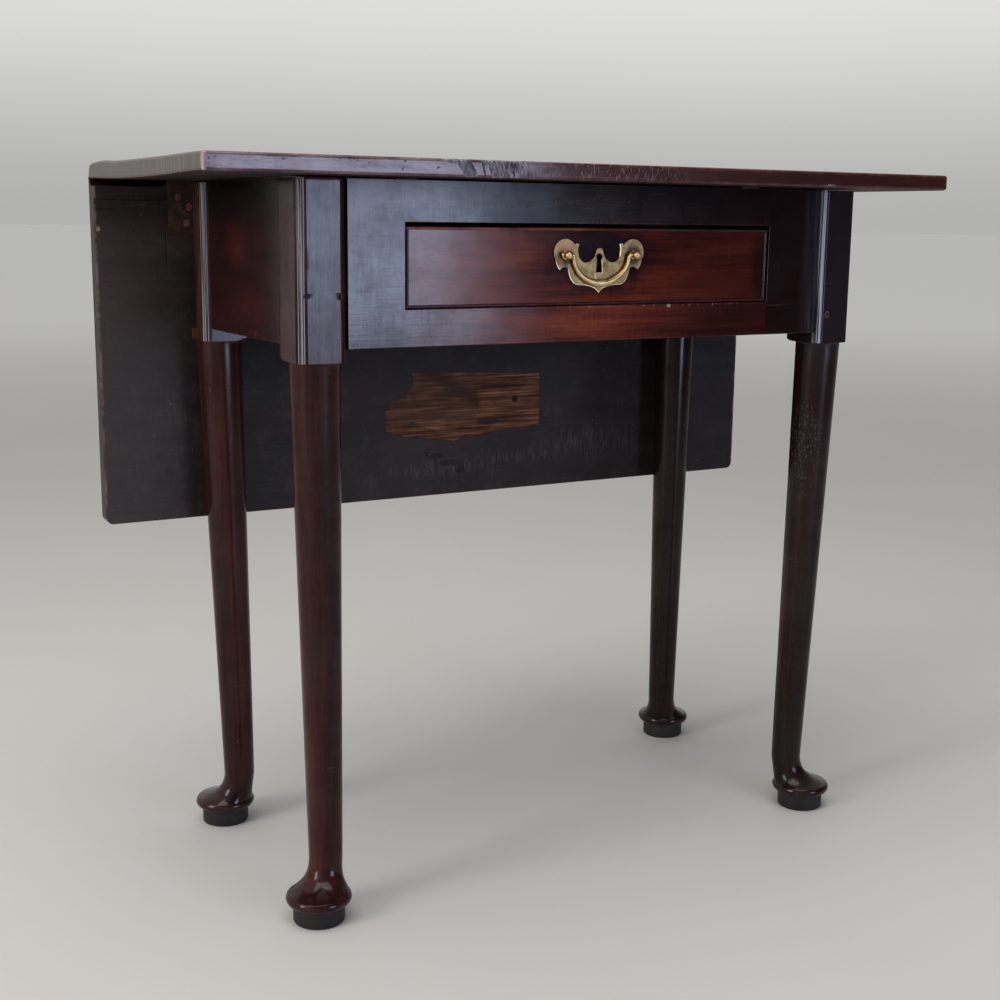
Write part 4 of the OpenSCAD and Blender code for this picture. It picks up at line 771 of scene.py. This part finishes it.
def tubes(name, *parts, marks=()):
    """A mesh of closed tubes. Each is a list of rings in mm, from low to high, with equal counts of points.

    A point is x, y, z and then a value from 0 to 1 for each named mark.
    """
    verts, faces, values = [], [], []
    for rings in parts:
        n, start = len(rings[0]), len(verts)
        for j in range(len(rings) - 1):
            for i in range(n):
                a, b = start + j * n + i, start + j * n + (i + 1) % n
                faces.append((a, b, b + n, a + n))
        faces.append([start + i for i in range(n - 1, -1, -1)])
        faces.append([start + (len(rings) - 1) * n + i for i in range(n)])
        verts += [[v * MM for v in p[:3]] for ring in rings for p in ring]
        values += [p[3:] for ring in rings for p in ring]
    me = bpy.data.meshes.new(name)
    me.from_pydata(verts, [], faces)
    values = np.clip(np.array(values, np.float32), 0, 1)
    for k, mark in enumerate(marks):
        me.attributes.new(mark, "FLOAT", "POINT").data.foreach_set("value", values[:, k].copy())
    return me


def box_tool(low, high):
    """A box from low to high, in mm, as (points, faces), for a cut."""
    (x0, y0, z0), (x1, y1, z1) = low, high
    verts = [(x, y, z) for z in (z0, z1) for x, y in ((x0, y0), (x1, y0), (x1, y1), (x0, y1))]
    return verts, [(0, 3, 2, 1), (4, 5, 6, 7), (0, 1, 5, 4), (1, 2, 6, 5), (2, 3, 7, 6), (3, 0, 4, 7)]


# Leg: one closed skin from the floor to the head of the block

def block_outline(moulded):
    """Outline of the block, anticlockwise: (x, y, wear or -1 in a groove, number of its moulding or 0)."""
    h, inner = BLOCK_HALF, BLOCK_HALF - MOULD
    beside = ((5.0, 0.0, 0), (1.2, 0.0, 0.3), (0.55, 0.05, 1), (0.1, 0.35, 1), (0.0, 0.8, -1))
    rounded = ((0.0, 6.0, 0), (0.0, 2.2, 0.2), (0.12, 1.1, 0.9), (0.5, 0.5, 1), (1.1, 0.12, 0.9),
               (2.2, 0.0, 0.2), (6.0, 0.0, 0))
    points = []
    for k, corner in enumerate([(1, 1), (-1, 1), (-1, -1), (1, -1)]):
        if corner in moulded:
            part = [(h - v, inner - u, w, 0) for u, v, w in beside]
            for i in range(13):
                a = math.radians(90 * i / 12)
                w = -1 if i in (0, 12) else 0.4 * math.sin(2 * a) ** 2
                part.append((inner + MOULD_R * math.cos(a), inner + MOULD_R * math.sin(a), w, 1))
            part += [(inner - u, h - v, w, 0) for u, v, w in beside[::-1]]
        else:
            part = [(h - u, h - v, w, 0) for u, v, w in rounded]
        c, s = math.cos(math.radians(90 * k)), math.sin(math.radians(90 * k))
        points += [(x * c - y * s, x * s + y * c, w, m * (k + 1)) for x, y, w, m in part]
    full = []
    for (x, y, w, m), (u, v, _, _) in zip(points, points[1:] + points[:1]):
        full.append((x, y, w, m))
        steps = int(math.hypot(u - x, v - y) // 3.2)
        full += [(x + (u - x) * j / steps, y + (v - y) * j / steps, 0.0, 0) for j in range(1, steps)]
    return full


def shaft_at(z):
    """Offset and radius of the shaft at a height."""
    t = (z - ANKLE_Z) / (BLOCK_LOW - ANKLE_Z)
    return -LEAN * (1 - t), ANKLE_R + (SHAFT_R - ANKLE_R) * t


def flare_at(t):
    """Height, offset and radius of the foot's flare, from the ankle at 0 to the pad at 1."""
    throw = (LEAN + FOOT) * math.sqrt(2)
    rim = PAD_R - PAD_ROUND
    outer = ANKLE_R + (throw + rim - ANKLE_R) * (0.31 * t ** 1.5 + 0.69 * t ** 4.4)
    inner = -ANKLE_R + (throw - rim + ANKLE_R) * t
    z = ANKLE_Z - (ANKLE_Z - SHOE_H - PAD_H) * t
    return z, -LEAN + (outer + inner) / 2 / math.sqrt(2), (outer - inner) / 2


def make_leg(node, sx, sy, moulded, materials, shoe, seed, streaked=(), chips=(), cut=None):
    outline = block_outline(moulded)
    unit = [(x / math.hypot(x, y), y / math.hypot(x, y)) for x, y, _, _ in outline]
    rings = []

    def round_ring(z, offset, radius, w):
        ring = []
        for ux, uy in unit:
            k = noise_at(ux * 0.8, uy * 0.8, z * 0.011 + seed)
            q = noise_at(ux * 2.6, uy * 2.6, z * 0.05 + seed * 3)
            r = radius * (1 + 0.0045 * k) + 0.05 * q
            worn = w * (0.6 + 0.8 * noise_at(ux * 4, uy * 4, z * 0.06 + seed))
            ring.append((offset + ux * r, offset + uy * r, z, worn, 0.0, 0.0))
        rings.append(ring)

    def block_ring(z, reach=math.inf, shrink=0.0, w=0.0):
        ring = []
        for x, y, edge, number in outline:
            d = math.hypot(x, y)
            groove, edge = float(edge < 0), max(edge, 0.0)
            rough = noise_at(x * 0.11, y * 0.11, z * 0.035 + seed * 5)
            dent = max(0.0, rough - 0.3) * 1.2 * edge
            for cx, cy, cz, size in chips:
                near = ((x - cx) / size) ** 2 + ((y - cy) / size) ** 2 + ((z - cz) / (1.6 * size)) ** 2
                dent += 0.9 * max(0.0, 1.0 - near) * (0.8 + 0.5 * noise_at(x, y, z * 0.7))
            k = min(1.0, reach / d) * (1 - shrink / d) * (1 - dent / d)
            worn = max(edge, w, float(reach / d < 0.995), dent)
            ring.append((x * k, y * k, z, worn, float(number in streaked), groove))
        rings.append(ring)

    for z, r in ((0.0, -1.6), (0.5, -0.7), (1.6, -0.15), (4.0, 0.0), (8.0, 0.0), (12.0, 0.0), (16.0, -0.1),
                 (18.2, -0.3)):
        round_ring(z, FOOT, SHOE_R + r, 0.7 if z < 2 else 0.1)
    round_ring(SHOE_H - 0.3, FOOT, SHOE_R + 1.2, 0.1)
    for i in range(15):
        t = 1 - 2 * i / 14
        round_ring(SHOE_H + PAD_H / 2 * (1 - t), FOOT, PAD_R - PAD_ROUND * t * t, 0.8 * (1 - t * t))
    for i in range(1, 26):
        z, offset, r = flare_at(1 - (i / 26) ** 1.4)
        round_ring(z, offset, r, 0.12)
    z = ANKLE_Z
    while z < BLOCK_LOW - 4:
        round_ring(z, *shaft_at(z), 0.1)
        z += 9.0
    for down, r in ((2.2, 0.0), (0.9, 0.15), (0.25, 0.5)):
        round_ring(BLOCK_LOW - down, 0.0, SHAFT_R + r, 0.2)
    block_ring(BLOCK_LOW, BLOCK_HALF + 0.9, w=0.2)
    block_ring(BLOCK_LOW, SHOULDER_REACH - 0.34, w=0.5)
    for i in range(1, 9):
        a = math.radians(90 * i / 8)
        block_ring(BLOCK_LOW + SHOULDER * (1 - math.cos(a)), SHOULDER_REACH + SHOULDER * math.sin(a), w=0.15)
    levels = {BLOCK_LOW + SHOULDER + 3.0 * i for i in range(1, 51)}
    levels |= {cz + 0.8 * i for _, _, cz, size in chips for i in range(-4, 5)}
    for z in sorted(levels):
        block_ring(z)
    block_ring(BLOCK_TOP - 0.5, w=0.8)
    block_ring(BLOCK_TOP, shrink=0.45, w=1.0)

    x0, y0 = sx * LEG_X, LEG_Y0 if sy < 0 else LEG_Y1
    rings = [[(x0 + sx * x, y0 + sy * y, *rest) for x, y, *rest in ring] for ring in rings]
    if sx * sy < 0:
        rings = [ring[::-1] for ring in rings]
    me = tubes(node + "_wood", rings, marks=("wear", "mould", "groove"))
    if cut:
        me = carved(me, cut)
    obj = new_piece(node + "_wood", "frame", materials, me)
    paint(obj, shoe, lambda normal, at: at.z < SHOE_H - 0.6)
    shade(obj, 42.0)
    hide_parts(node)
    return obj


def make_pegs(left, right):
    """Four pegs in the front blocks, slightly uneven in outline; the left ones lie just under the polish."""
    profile = ((-6.0, 3.4), (-0.02, 3.45), (0.02, 3.3), (0.04, 2.7), (0.05, 1.5), (0.05, 0.4))
    parts = []
    for k, (x, z) in enumerate([(x, z) for x in (-PEG_X, PEG_X) for z in PEG_ZS]):
        face = BLOCK_FRONT_Y + (0.3 if x < 0 else 0.0)
        rings = []
        for depth, r in profile:
            ring = []
            for i, (c, s) in enumerate(circle(28)):
                a = 2 * math.pi * i / 28
                w = r * (1 + 0.035 * math.cos(3 * a + k) + 0.02 * math.cos(5 * a + 2 * k))
                ring.append((x + w * c, face - depth, z + w * s, float(k == 2 and 0.0 < depth < 0.045)))
            rings.append(ring)
        parts.append(rings)
    me = tubes("tenon_pegs_wood", *parts, marks=("wear",))
    obj = new_piece("tenon_pegs_wood", "frame", [left], me)
    paint(obj, right, lambda normal, at: at.x > 0)
    shade(obj, 60.0, False)
    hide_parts("tenon_pegs")


# Handle: posts, and a bail swept thicker in the middle, with its pintles

def make_post(node, side, material):
    """One handle post, turned: threaded shank, collar, neck and ball head."""
    neck, ball, ball_at = 3.0, 4.0, 8.3
    profile = [(1.6, -24.5), (2.3, -24.0)]
    depth = -23.4
    while depth < 0.0:
        profile += [(2.4, depth), (2.1, depth + 0.45)]
        depth += 0.9
    profile += [(2.4, 0.2), (2.4, 1.75), (3.9, 1.82), (4.2, 2.0), (4.2, 2.7), (4.0, 2.95), (3.2, 3.1),
                (neck, 3.4), (neck, 4.9)]
    start = math.degrees(math.asin(neck / ball))
    for i in range(15):
        a = math.radians(180 - start - (180 - start) * i / 14.6)
        profile.append((max(0.05, ball * math.sin(a)), ball_at + ball * math.cos(a)))
    x = HANDLE_X + side * POST_X
    rings = [[(x + r * c, POST_Y - d, HANDLE_Z + r * s) for c, s in circle(36)] for r, d in profile]
    obj = new_piece(node + "_brass", "drawer", [material], tubes(node + "_brass", rings))
    shade(obj, 35.0, False)
    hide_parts(node)


def make_bail(material):
    reach, drop, half = 4.2, 26.8, 32.0
    arm, middle, plate_gap = 1.75, 2.6, 0.25
    bend = reach - middle - plate_gap
    start = POST_X - 4.4
    line = [(start, 0, 0, arm), (start - 0.9, 0, 0, arm)]
    line += [(half + 0.7, 0, 0.1, arm), (half + 0.1, 0, -1.2, arm)]
    for a in np.radians(np.arange(84, -0.1, -4)):
        c = math.cos(a)
        line.append((half * math.sin(a), bend * c ** 0.6, -drop * c, arm + (middle - arm) * c ** 2))
    path = [(-x, y, z, r) for x, y, z, r in line] + line[-2::-1]
    rings = []
    for k, (x, y, z, r) in enumerate(path):
        q, p = path[max(k - 1, 0)], path[min(k + 1, len(path) - 1)]
        d = Vector((p[0] - q[0], 0, p[2] - q[2])).normalized()
        ring = []
        for c, s in circle(20)[::-1]:
            u = r * c * (1 + 0.36 * max(0.0, (r - arm) / (middle - arm)))
            ring.append((HANDLE_X + x - u * d.z, BAIL_Y + y + r * s, HANDLE_Z + z + u * d.x))
        rings.append(ring)
    parts = [rings]
    for side in (-1, 1):
        pintle = ((start - 0.5, 1.5), (POST_X + 1.7, 1.5), (POST_X + 2.0, 1.2))
        parts.append([[(HANDLE_X + side * x, BAIL_Y + r * c, HANDLE_Z + r * s) for c, s in circle(20)[::side]]
                      for x, r in pintle])
    obj = new_piece("bail_brass", "bail", [material], tubes("bail_brass", *parts))
    shade(obj, 50.0, False)
    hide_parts("handle_bail")


# Top: its gouged edge and its cupped end

def gouge_sheet():
    """A closed tool that cuts the gouges and knife cuts in the top's front edge: (points in mm, faces)."""
    xs = np.arange(-204.0, -88.0, 0.5)
    zs = np.arange(691.0, 713.6, 0.5)
    outside, back = -0.7, FRONT_Y - 3.75
    # Knife cuts: (x at the upper edge, x at the lower edge, depth)
    cuts = [(-156.6, -153.2, 1.0), (-143.0, -138.4, 0.8), (-137.0, -132.6, 1.1), (-133.2, -127.6, 0.8),
            (-129.3, -122.6, 1.2), (-126.0, -119.6, 0.7), (-123.9, -116.5, 1.0), (-120.0, -114.6, 0.7),
            (-117.2, -112.0, 0.9), (-113.0, -108.0, 0.5), (-109.0, -105.0, 0.4)]

    def depth(x, z):
        rough = noise_at(x * 0.33, z * 0.42, 1.0) + 0.6 * noise_at(x * 0.9, z * 1.1, 5.0)
        d = outside
        u = (x - (-183.0 + (710.3 - z) * 0.594)) / 14.6
        if 0.0 < u < 1.0:
            d = max(d, min(1.0, u * 14) * (1.9 - 1.3 * u) + 0.4 * rough)
        u = (x - (-151.7 + (709.9 - z) * 0.33)) / 44.0
        if 0.0 < u < 1.0:
            d = max(d, min(1.0, u * 40) * (1.7 - 2.1 * u) + 0.34 * rough)
        if -199.0 < x < -182.0 and z > (709.2 if x < -190.5 else 707.2) + 0.5 * rough:
            d = max(d, 0.7 + 0.3 * rough)
        if -156.5 < x < -151.5 and z > 705.6 + 0.6 * rough:
            d = max(d, 1.1 + 0.3 * rough)
        for top, low, size in cuts:
            t = (710.0 - z) / 13.5
            gap = abs(x - (top + (low - top) * t + 0.35 * rough))
            if -0.1 < t < 1.0 and gap < 1.15:
                d = max(d, size * (1.25 - gap) * (1.0 if t > 0.05 else 0.6) + max(0.0, d) * 0.8)
        if d > 0 and z > 708.0:
            d += 3.0 - math.sqrt(max(0.0, 9.0 - min(3.0, z - 708.0) ** 2))
        return d

    nx, nz = len(xs), len(zs)
    verts, faces = [], []
    for i, x in enumerate(xs):
        for j, z in enumerate(zs):
            inner = 0 < i < nx - 1 and 0 < j < nz - 1
            verts.append((x, FRONT_Y + (depth(x, z) if inner else outside), z))
    for i in range(nx - 1):
        for j in range(nz - 1):
            a = i * nz + j
            faces.append((a, a + nz, a + nz + 1, a + 1))
    base = len(verts)
    verts += [(x, back, z) for x, z in ((xs[0], zs[0]), (xs[-1], zs[0]), (xs[-1], zs[-1]), (xs[0], zs[-1]))]
    faces.append((base, base + 3, base + 2, base + 1))
    faces.append([base, base + 1] + [i * nz for i in range(nx - 1, -1, -1)])
    faces.append([base + 1, base + 2] + [(nx - 1) * nz + j for j in range(nz - 1, -1, -1)])
    faces.append([base + 2, base + 3] + [i * nz + nz - 1 for i in range(nx)])
    faces.append([base + 3, base] + list(range(nz)))
    return verts, faces


def corner_tool(verts, faces, x, y, sx, sy, radius, z0, z1):
    """Add a tool that rounds one upright corner."""
    flat = [(x + sx, y + sy), (x - sx * radius, y + sy), (x - sx * radius, y)]
    for a in [math.radians(9 * i) for i in range(1, 10)]:
        flat.append((x - sx * radius * (1 - math.sin(a)), y - sy * radius * (1 - math.cos(a))))
    flat.append((x + sx, y - sy * radius))
    base, n = len(verts), len(flat)
    verts += [(u, v, z) for z in (z0, z1) for u, v in flat]
    faces.append([base + i for i in range(n)])
    faces.append([base + n + i for i in range(n - 1, -1, -1)])
    faces += [(base + i, base + (i + 1) % n, base + n + (i + 1) % n, base + n + i) for i in range(n)]


def sag(p):
    """The left end of the top has cupped a little, beyond the frame, more below than above."""
    start = -345.0
    if p.x > start or p.z < 690:
        return Vector((0, 0, 0))
    along = min(1.0, (start - p.x) / (HALF + start)) ** 1.3
    across = max(0.0, 1 - ((p.y - 10) / 150) ** 2)
    back = max(0.0, 1 - ((p.y - 125) / 30) ** 2)
    high = (p.z - UNDER) / (TOP - UNDER)
    return Vector((0, 0, along * ((1 - high) * -2.3 * across + high * (1.4 * back - 0.8 * across))))


# The table

def build_legs(hidden):
    """The four legs; gives the front left one's wood back for its pegs."""
    ledge = plain_wood("mahogany_ledge", "X", 9.9, LEDGE, 0.7, 60.0, 60.0, None, 0.0)
    shoe = plain_wood("mahogany_shoe", "Z", 7.9, SHOE, 0.55)
    rebate = chip_mesh([], box_tool((-319.5, REBATE_Y, REBATE_Z - 1.5), (REBATE_X, 163.5, 694.5)))
    notches = ((-311.0, 591.6), (-278.6, 591.1))
    notch_chips = [(-LEG_X - x, BLOCK_HALF, z, 2.2) for x, z in notches]
    edge_chips = [(24.0, 18.0, 640.0, 4.0), (24.0, 20.0, 600.0, 3.0), (24.0, 17.0, 566.0, 4.0)]
    scuff = ((0.268, -0.138, 0.415), (0.02, 0.03, 0.05))
    both = {(1, 1), (-1, 1)}
    back = {(1, -1), (1, 1)}
    wood = {}
    # Node, side in x and y, moulded corners, seed, streaked mouldings, chips, colours and marks
    for node, sx, sy, moulded, seed, streaked, chips, stops, extra in (
            ("leg_front_left", -1, -1, both, 1.1, (1,), notch_chips, MAHOGANY,
             leg_marks(0.55, notches=notches)),
            ("leg_front_right", 1, -1, both, 2.6, (2,), edge_chips, DARK, leg_marks(0.92, scuff, dim=0.6)),
            ("leg_back_right", 1, 1, back, 4.3, (), [], DARK, leg_marks(0.0)),
            ("swing_leg", -1, 1, back, 5.9, (4,), [], MAHOGANY, leg_marks(0.7, None, (-0.3172, -0.316)))):
        wood[node] = polished("mahogany_" + node, "Z", seed, stops, rough=0.17, figure=24.0, wear=0.3,
                              worn=(0.105, 0.05, 0.045), extra=extra, coat=0.08, gloss=0.17)
        cut = rebate if node == "swing_leg" else None
        piece = make_leg(node, sx, sy, moulded, [wood[node], ledge], shoe, seed, streaked, chips, cut)
        if cut:
            paint(piece, hidden, lambda n, p: p.z > REBATE_Z and (
                n.y > 0.9 and abs(p.y - REBATE_Y) < 0.2 or n.x < -0.9 and p.x > REBATE_X - 0.8))
    return wood["leg_front_left"]


def build_top(hidden):
    end_grain = plain_wood("mahogany_end", "Z", 4.6, END_GRAIN, 0.5, 8.0, 300.0)
    gouge = plain_wood("mahogany_gouge", "Z", 6.1, GOUGE, 0.42, 90.0, 420.0)
    top = polished("mahogany_top", "X", 0.4, MAHOGANY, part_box("top_board"), figure=9.0, edge=0.0045,
                   worn=(0.17, 0.07, 0.055), wear=0.6, extra=top_marks)
    verts, faces = gouge_sheet()
    corner_tool(verts, faces, -HALF, FRONT_Y, -1, -1, 3.6, 690.0, 714.0)
    chips = [((40, -180.7, 710.6), (7.0, 1.4, 1.2), 5.0), ((63, -180.7, 710.5), (4.0, 1.4, 1.0), 6.0),
             ((-250, -180.6, 710.9), (5.0, 1.6, 1.0), 7.0), ((250, -180.9, 697), (5.0, 1.5, 2.0), 8.0)]
    planes = [("x", v) for v in (-345, -352, -360, -370, -380, -390, -400)]
    planes += [("y", v) for v in range(-140, 161, 20)]

    def end_arris(p, d):
        return abs(p.x) > HALF - 0.5 and abs(d.y) > 0.95 and p.y < 162

    piece = eased("top_board", "frame", top, 5.0, end_arris, segments=6,
                  cut=chip_mesh(chips, (verts, faces)), cut_material=gouge, planes=planes, bend=sag)
    paint(piece, end_grain, lambda n, p: abs(n.x) > 0.72 and abs(p.x) > HALF - 5.5 and p.y > FRONT_Y + 4.5)
    paint(piece, hidden, lambda n, p: n.z < -0.9 and p.z < 696)
    for p in piece.data.polygons:
        if p.material_index == 1 and abs(p.center.x) > 0.4:
            p.material_index = 0


def build_leaf(hidden):
    leaf = polished("mahogany_leaf", "X", 3.3, MAHOGANY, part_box("drop_leaf"), figure=9.0,
                    worn=(0.15, 0.052, 0.034))
    inner = plain_wood("mahogany_leaf_inner", "X", 8.8, LEAF_INNER, 0.56, extra=leaf_inner_marks, gloss=0.15)
    end = plain_wood("mahogany_leaf_end", "Z", 5.3, LEAF_END, 0.55, 8.0, 300.0, None, 0.15)
    low = LEAF_LOW[2]
    chips = [((-300, 164, low + 0.8), (6.0, 1.6, 1.3), 11.0), ((96, 164, low + 0.7), (4.0, 1.4, 1.2), 12.0),
             ((-HALF - 0.3, 164.2, 646), (1.6, 1.6, 4.0), 13.0),
             ((-HALF - 0.3, 164.2, 470), (1.2, 1.2, 7.0), 14.0)]
    piece = eased("drop_leaf", "leaf", leaf, 0.3, cut=chip_mesh(chips), cut_material=hidden)
    paint(piece, inner, lambda n, p: n.y < -0.9 and p.y < 165)
    paint(piece, end, lambda n, p: abs(n.x) > 0.96 and abs(p.x) > HALF - 2.0)


def build_front(hidden):
    """The stiles and rails round the drawer, and the side aprons."""
    upper = sheen(-0.1, 0.1, 0.27, 0.18)
    lower = sheen(-0.2, -0.02, 0.27, 0.08)

    def stile_arris(p, d):
        beside_drawer = abs(d.z) > 0.9 and OPENING_LOW - 0.5 < p.z < OPENING_HIGH + 0.5 and -215 < p.x < 203
        return p.y < FRONT_EDGES_Y and (p.z < 546 or beside_drawer)

    def rail_arris(p, d):
        return p.y < FRONT_EDGES_Y and abs(d.x) > 0.9 and p.z < 657

    def apron_arris(p, d):
        return abs(p.x) > 312 and p.z < 560 and abs(d.y) > 0.9

    opening = [("z", OPENING_LOW), ("z", OPENING_HIGH)]
    for node, seed, stops, gloss, slot, arris, planes in (
            ("front_stile_left", 1.9, MAHOGANY, upper, "mahogany", stile_arris, opening),
            ("front_stile_right", 7.7, DARK, upper, "mahogany", stile_arris, opening),
            ("front_top_rail", 8.4, DARK, upper, "mahogany", rail_arris, ()),
            ("front_bottom_rail", 3.9, VENEER, lower, "mahogany_red", rail_arris, ())):
        low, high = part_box(node)
        box = ((-0.29, *low[1:]), (0.29, *high[1:]))
        wood = polished("mahogany_" + node, "X", seed, stops, box, figure=12.0, edge=0.002, wear=0.25,
                        extra=front_marks_and_painted_light, gloss=gloss)
        piece = eased(node, "frame", wood, 0.6, arris, planes=planes)
        paint(piece, hidden, lambda n, p: n.y > 0.9)
    for node, seed, side in (("side_apron_left", 6.1, -1), ("side_apron_right", 9.2, 1)):
        wood = polished("mahogany_" + node, "Y", seed, CRIMSON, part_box(node), figure=12.0, edge=0.002,
                        wear=0.3, extra=side_grime_and_painted_shade)
        piece = eased(node, "frame", wood, 0.6, apron_arris)
        paint(piece, hidden, lambda n, p: n.x * side < -0.9)


def build_drawer(hidden):
    gloss = sheen(-0.21, -0.11, 0.26, 0.09)
    wood = polished("mahogany_drawer", "X", 12.5, VENEER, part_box("drawer_front"), rough=0.18, figure=15.0,
                    edge=0.002, wear=0.2, extra=handle_grime, coat=0.05, gloss=gloss)
    piece = eased("drawer_front", "drawer", wood, 0.3)
    paint(piece, hidden, lambda n, p: n.y > 0.9)
    bead = polished("mahogany_bead", "X", 4.4, MAHOGANY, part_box("drawer_cock_beads"), rough=0.28, figure=30.0,
                    wear=0.0, extra=bead_marks)
    eased("drawer_cock_beads", "drawer", bead, 0.2)


def dress_inner_woods():
    for node, grain, seed in (("fly_rail_fixed", "X", 1.2), ("fly_rail_swing", "X", 2.9),
                              ("drawer_runner_left", "Y", 3.1), ("drawer_runner_right", "Y", 4.7),
                              ("drawer_guide_left", "Y", 5.2), ("drawer_guide_right", "Y", 6.4),
                              ("drawer_side_left", "Y", 7.1), ("drawer_side_right", "Y", 8.6),
                              ("drawer_back", "X", 9.4), ("drawer_bottom", "Y", 10.8)):
        dress(node, dry_wood("oak_" + node, grain, seed, OAK))
    # The back rail's pine is darkened to 0.18 of the others: painted shade for the dark inside of the frame
    for node, grain, seed, light in (("back_rail", "X", 1.6, 0.18), ("drawer_kicker_left", "Y", 2.2, 1.0),
                                     ("drawer_kicker_right", "Y", 3.8, 1.0), ("drawer_stops", "Z", 4.1, 1.0),
                                     ("glue_blocks", "Y", 5.5, 1.0)):
        dress(node, dry_wood("pine_" + node, grain, seed, lighter(PINE, light), 17.0, 0.15))


def build_metal():
    """The iron, the pierced backplate, the posts and the bail."""
    # Painted shadow round both posts, and two coppery stains: x and z from the handle's middle, size, colour,
    # amount
    stains = []
    for dx, dz, width, height, tint, amount in ((-POST_X, -1, 0.0092, 0.0092, (0.02, 0.014, 0.013), 0.9),
                                                (POST_X, -1, 0.0092, 0.0092, (0.02, 0.014, 0.013), 0.9),
                                                (-41, 8, 0.01, 0.005, (0.25, 0.125, 0.07), 0.7),
                                                (-47, -8, 0.006, 0.005, (0.24, 0.115, 0.065), 0.6)):
        centre = ((HANDLE_X + dx) * MM, PLATE_FACE_Y, (HANDLE_Z + dz) * MM)
        stains.append((centre, (width, 0.02, height), tint, amount))
    plate = aged_brass("brass_plate", 2.1, OLIVE, 0.4, stains, 0.38, scribe_line, 0.0001)
    gold = aged_brass("brass_gold", 5.7, GOLD, 0.15)
    pale = aged_brass("brass_edge", 3.3, PALE, 0.05)
    iron = old_iron("iron", 1.3)
    for node in ("fly_rail_pin", "fly_rail_screws", "top_screws", "hinge_top_flaps", "hinge_pins",
                 "hinge_top_screws", "drawer_bottom_nails", "handle_nuts", "lock_screws", "lock_bolt"):
        dress(node, iron)
    dress("hinge_leaf_flaps", old_iron("iron_flaps", 2.7, extra=hinge_stains))
    dress("hinge_leaf_screws", old_iron("iron_screws", 4.9, lighter(RUST, 3.6)))
    dress("lock_case", plate)
    eased("handle_backplate", "drawer", plate, 0.8, lambda p, d: p.y < PLATE_EDGES_Y,
          name="backplate_brass", edge_material=pale)
    make_post("handle_post_left", -1, gold)
    make_post("handle_post_right", 1, gold)
    make_bail(gold)


def build_table():
    hidden = plain_wood("mahogany_hidden", "X", 2.2, HIDDEN)
    front_left = build_legs(hidden)
    build_top(hidden)
    build_leaf(hidden)
    build_front(hidden)
    build_drawer(hidden)
    peg = polished("mahogany_pegs", "Y", 6.6, DARK, rough=0.3, worn=(0.2, 0.095, 0.085), wear=0.8)
    make_pegs(front_left, peg)
    dress_inner_woods()
    build_metal()


# Floor, light and camera

# The way that the camera looks, from above
AHEAD = (-0.62, 0.78)


def make_stage():
    s = new_material("floor_paint", 0.3)
    tone = s.noise(s.scaled(1.3), 4.0, 0.5)
    s.colour = s.mix(tone, (0.42, 0.41, 0.4), (0.47, 0.46, 0.45))
    x, y, z = s.axes()
    # The floor is paler far off, to meet the world at the horizon; behind the camera it is painted dark, as
    # painted shade for the dim room there
    away = s.math("SQRT", s.plus(s.times(x, x), s.times(y, y)))
    s.tint(s.step(away, 1.5, 9.0), (0.86, 0.855, 0.845))
    behind = s.plus(s.times(x, -AHEAD[0]), s.times(y, -AHEAD[1]))
    s.tint(s.step(behind, 1.8, 4.5), (0.1, 0.1, 0.105))
    s.rough = 0.75
    s.finish(Specular_IOR_Level=0.2)
    reach = 150.0
    me = bpy.data.meshes.new("floor")
    me.from_pydata([(reach * c, reach * s, 0.0) for c, s in circle(96)], [], [list(range(96))])
    me.materials.append(s.owner)
    linked("floor", me)

    # The studio is pale ahead and dark behind the camera
    s = Shader(bpy.data.worlds.new("studio"), coords="Generated")
    SCENE.world = s.owner
    ahead = s.add("VectorMath", (s.coords, (*AHEAD, 0.0)), operation="DOT_PRODUCT").outputs["Value"]
    stops = [(0.0, 0.06), (0.12, 0.07), (0.34, 0.34), (0.5, 0.74), (0.6, 0.75), (0.85, 0.73), (1.0, 0.72)]
    stops = [(place, (v, v, v * 0.985)) for place, v in stops]
    background = s.tree.nodes["Background"]
    s.put(background.inputs["Color"], s.ramp(s.add("MapRange", (ahead, -1.0, 1.0)).outputs[0], stops))
    s.put(background.inputs["Strength"], s.step(s.axes()[2], 0.0, 0.16, 0.6, 1.0))


def add_area(name, place, aim, size, power, colour):
    light = bpy.data.lights.new(name, "AREA")
    light.shape = "RECTANGLE"
    light.size, light.size_y = size
    light.energy = power
    light.color = colour
    obj = linked(name, light)
    obj.location = place
    obj.rotation_euler = (Vector(aim) - Vector(place)).to_track_quat("-Z", "Y").to_euler()
    obj.visible_camera = False


def make_lights():
    add_area("window", (0.95, -3.05, 0.7), (-0.15, -0.1, 0.6), (0.98, 1.0), 37.0, (0.6, 0.72, 1.0))
    add_area("overhead", (-0.5, -0.6, 3.0), (0.0, 0.0, 0.4), (2.6, 2.2), 70.0, (1.0, 0.97, 0.92))
    add_area("left", (-3.0, -0.5, 1.3), (0.0, 0.0, 0.5), (0.9, 1.6), 50.0, (1.0, 0.96, 0.92))


def make_camera():
    """Angles in radians, place in metres, and the picture's distance and width in pixels."""
    yaw, pitch, roll = -0.517987, -0.190461, 0.011293
    place = (-0.7909, -1.331222, 0.659007)
    distance, width = 1453.009, 1000
    ahead = Vector((math.sin(-yaw) * math.cos(pitch), math.cos(yaw) * math.cos(pitch), math.sin(pitch)))
    level = ahead.cross(Vector((0, 0, 1))).normalized()
    upright = level.cross(ahead)
    right = math.cos(roll) * level + math.sin(roll) * upright
    up = -math.sin(roll) * level + math.cos(roll) * upright
    data = bpy.data.cameras.new("camera")
    data.sensor_fit = "HORIZONTAL"
    data.sensor_width = 36.0
    data.lens = data.sensor_width * distance / width
    data.clip_end = 100.0
    camera = linked("camera", data)
    m = Matrix((right, up, -ahead)).transposed().to_4x4()
    m.translation = place
    camera.matrix_world = m
    SCENE.camera = camera


make_camera()
make_stage()
make_lights()
build_table()
SCENE.view_settings.view_transform = "Standard"


bpy.context.view_layer.update()
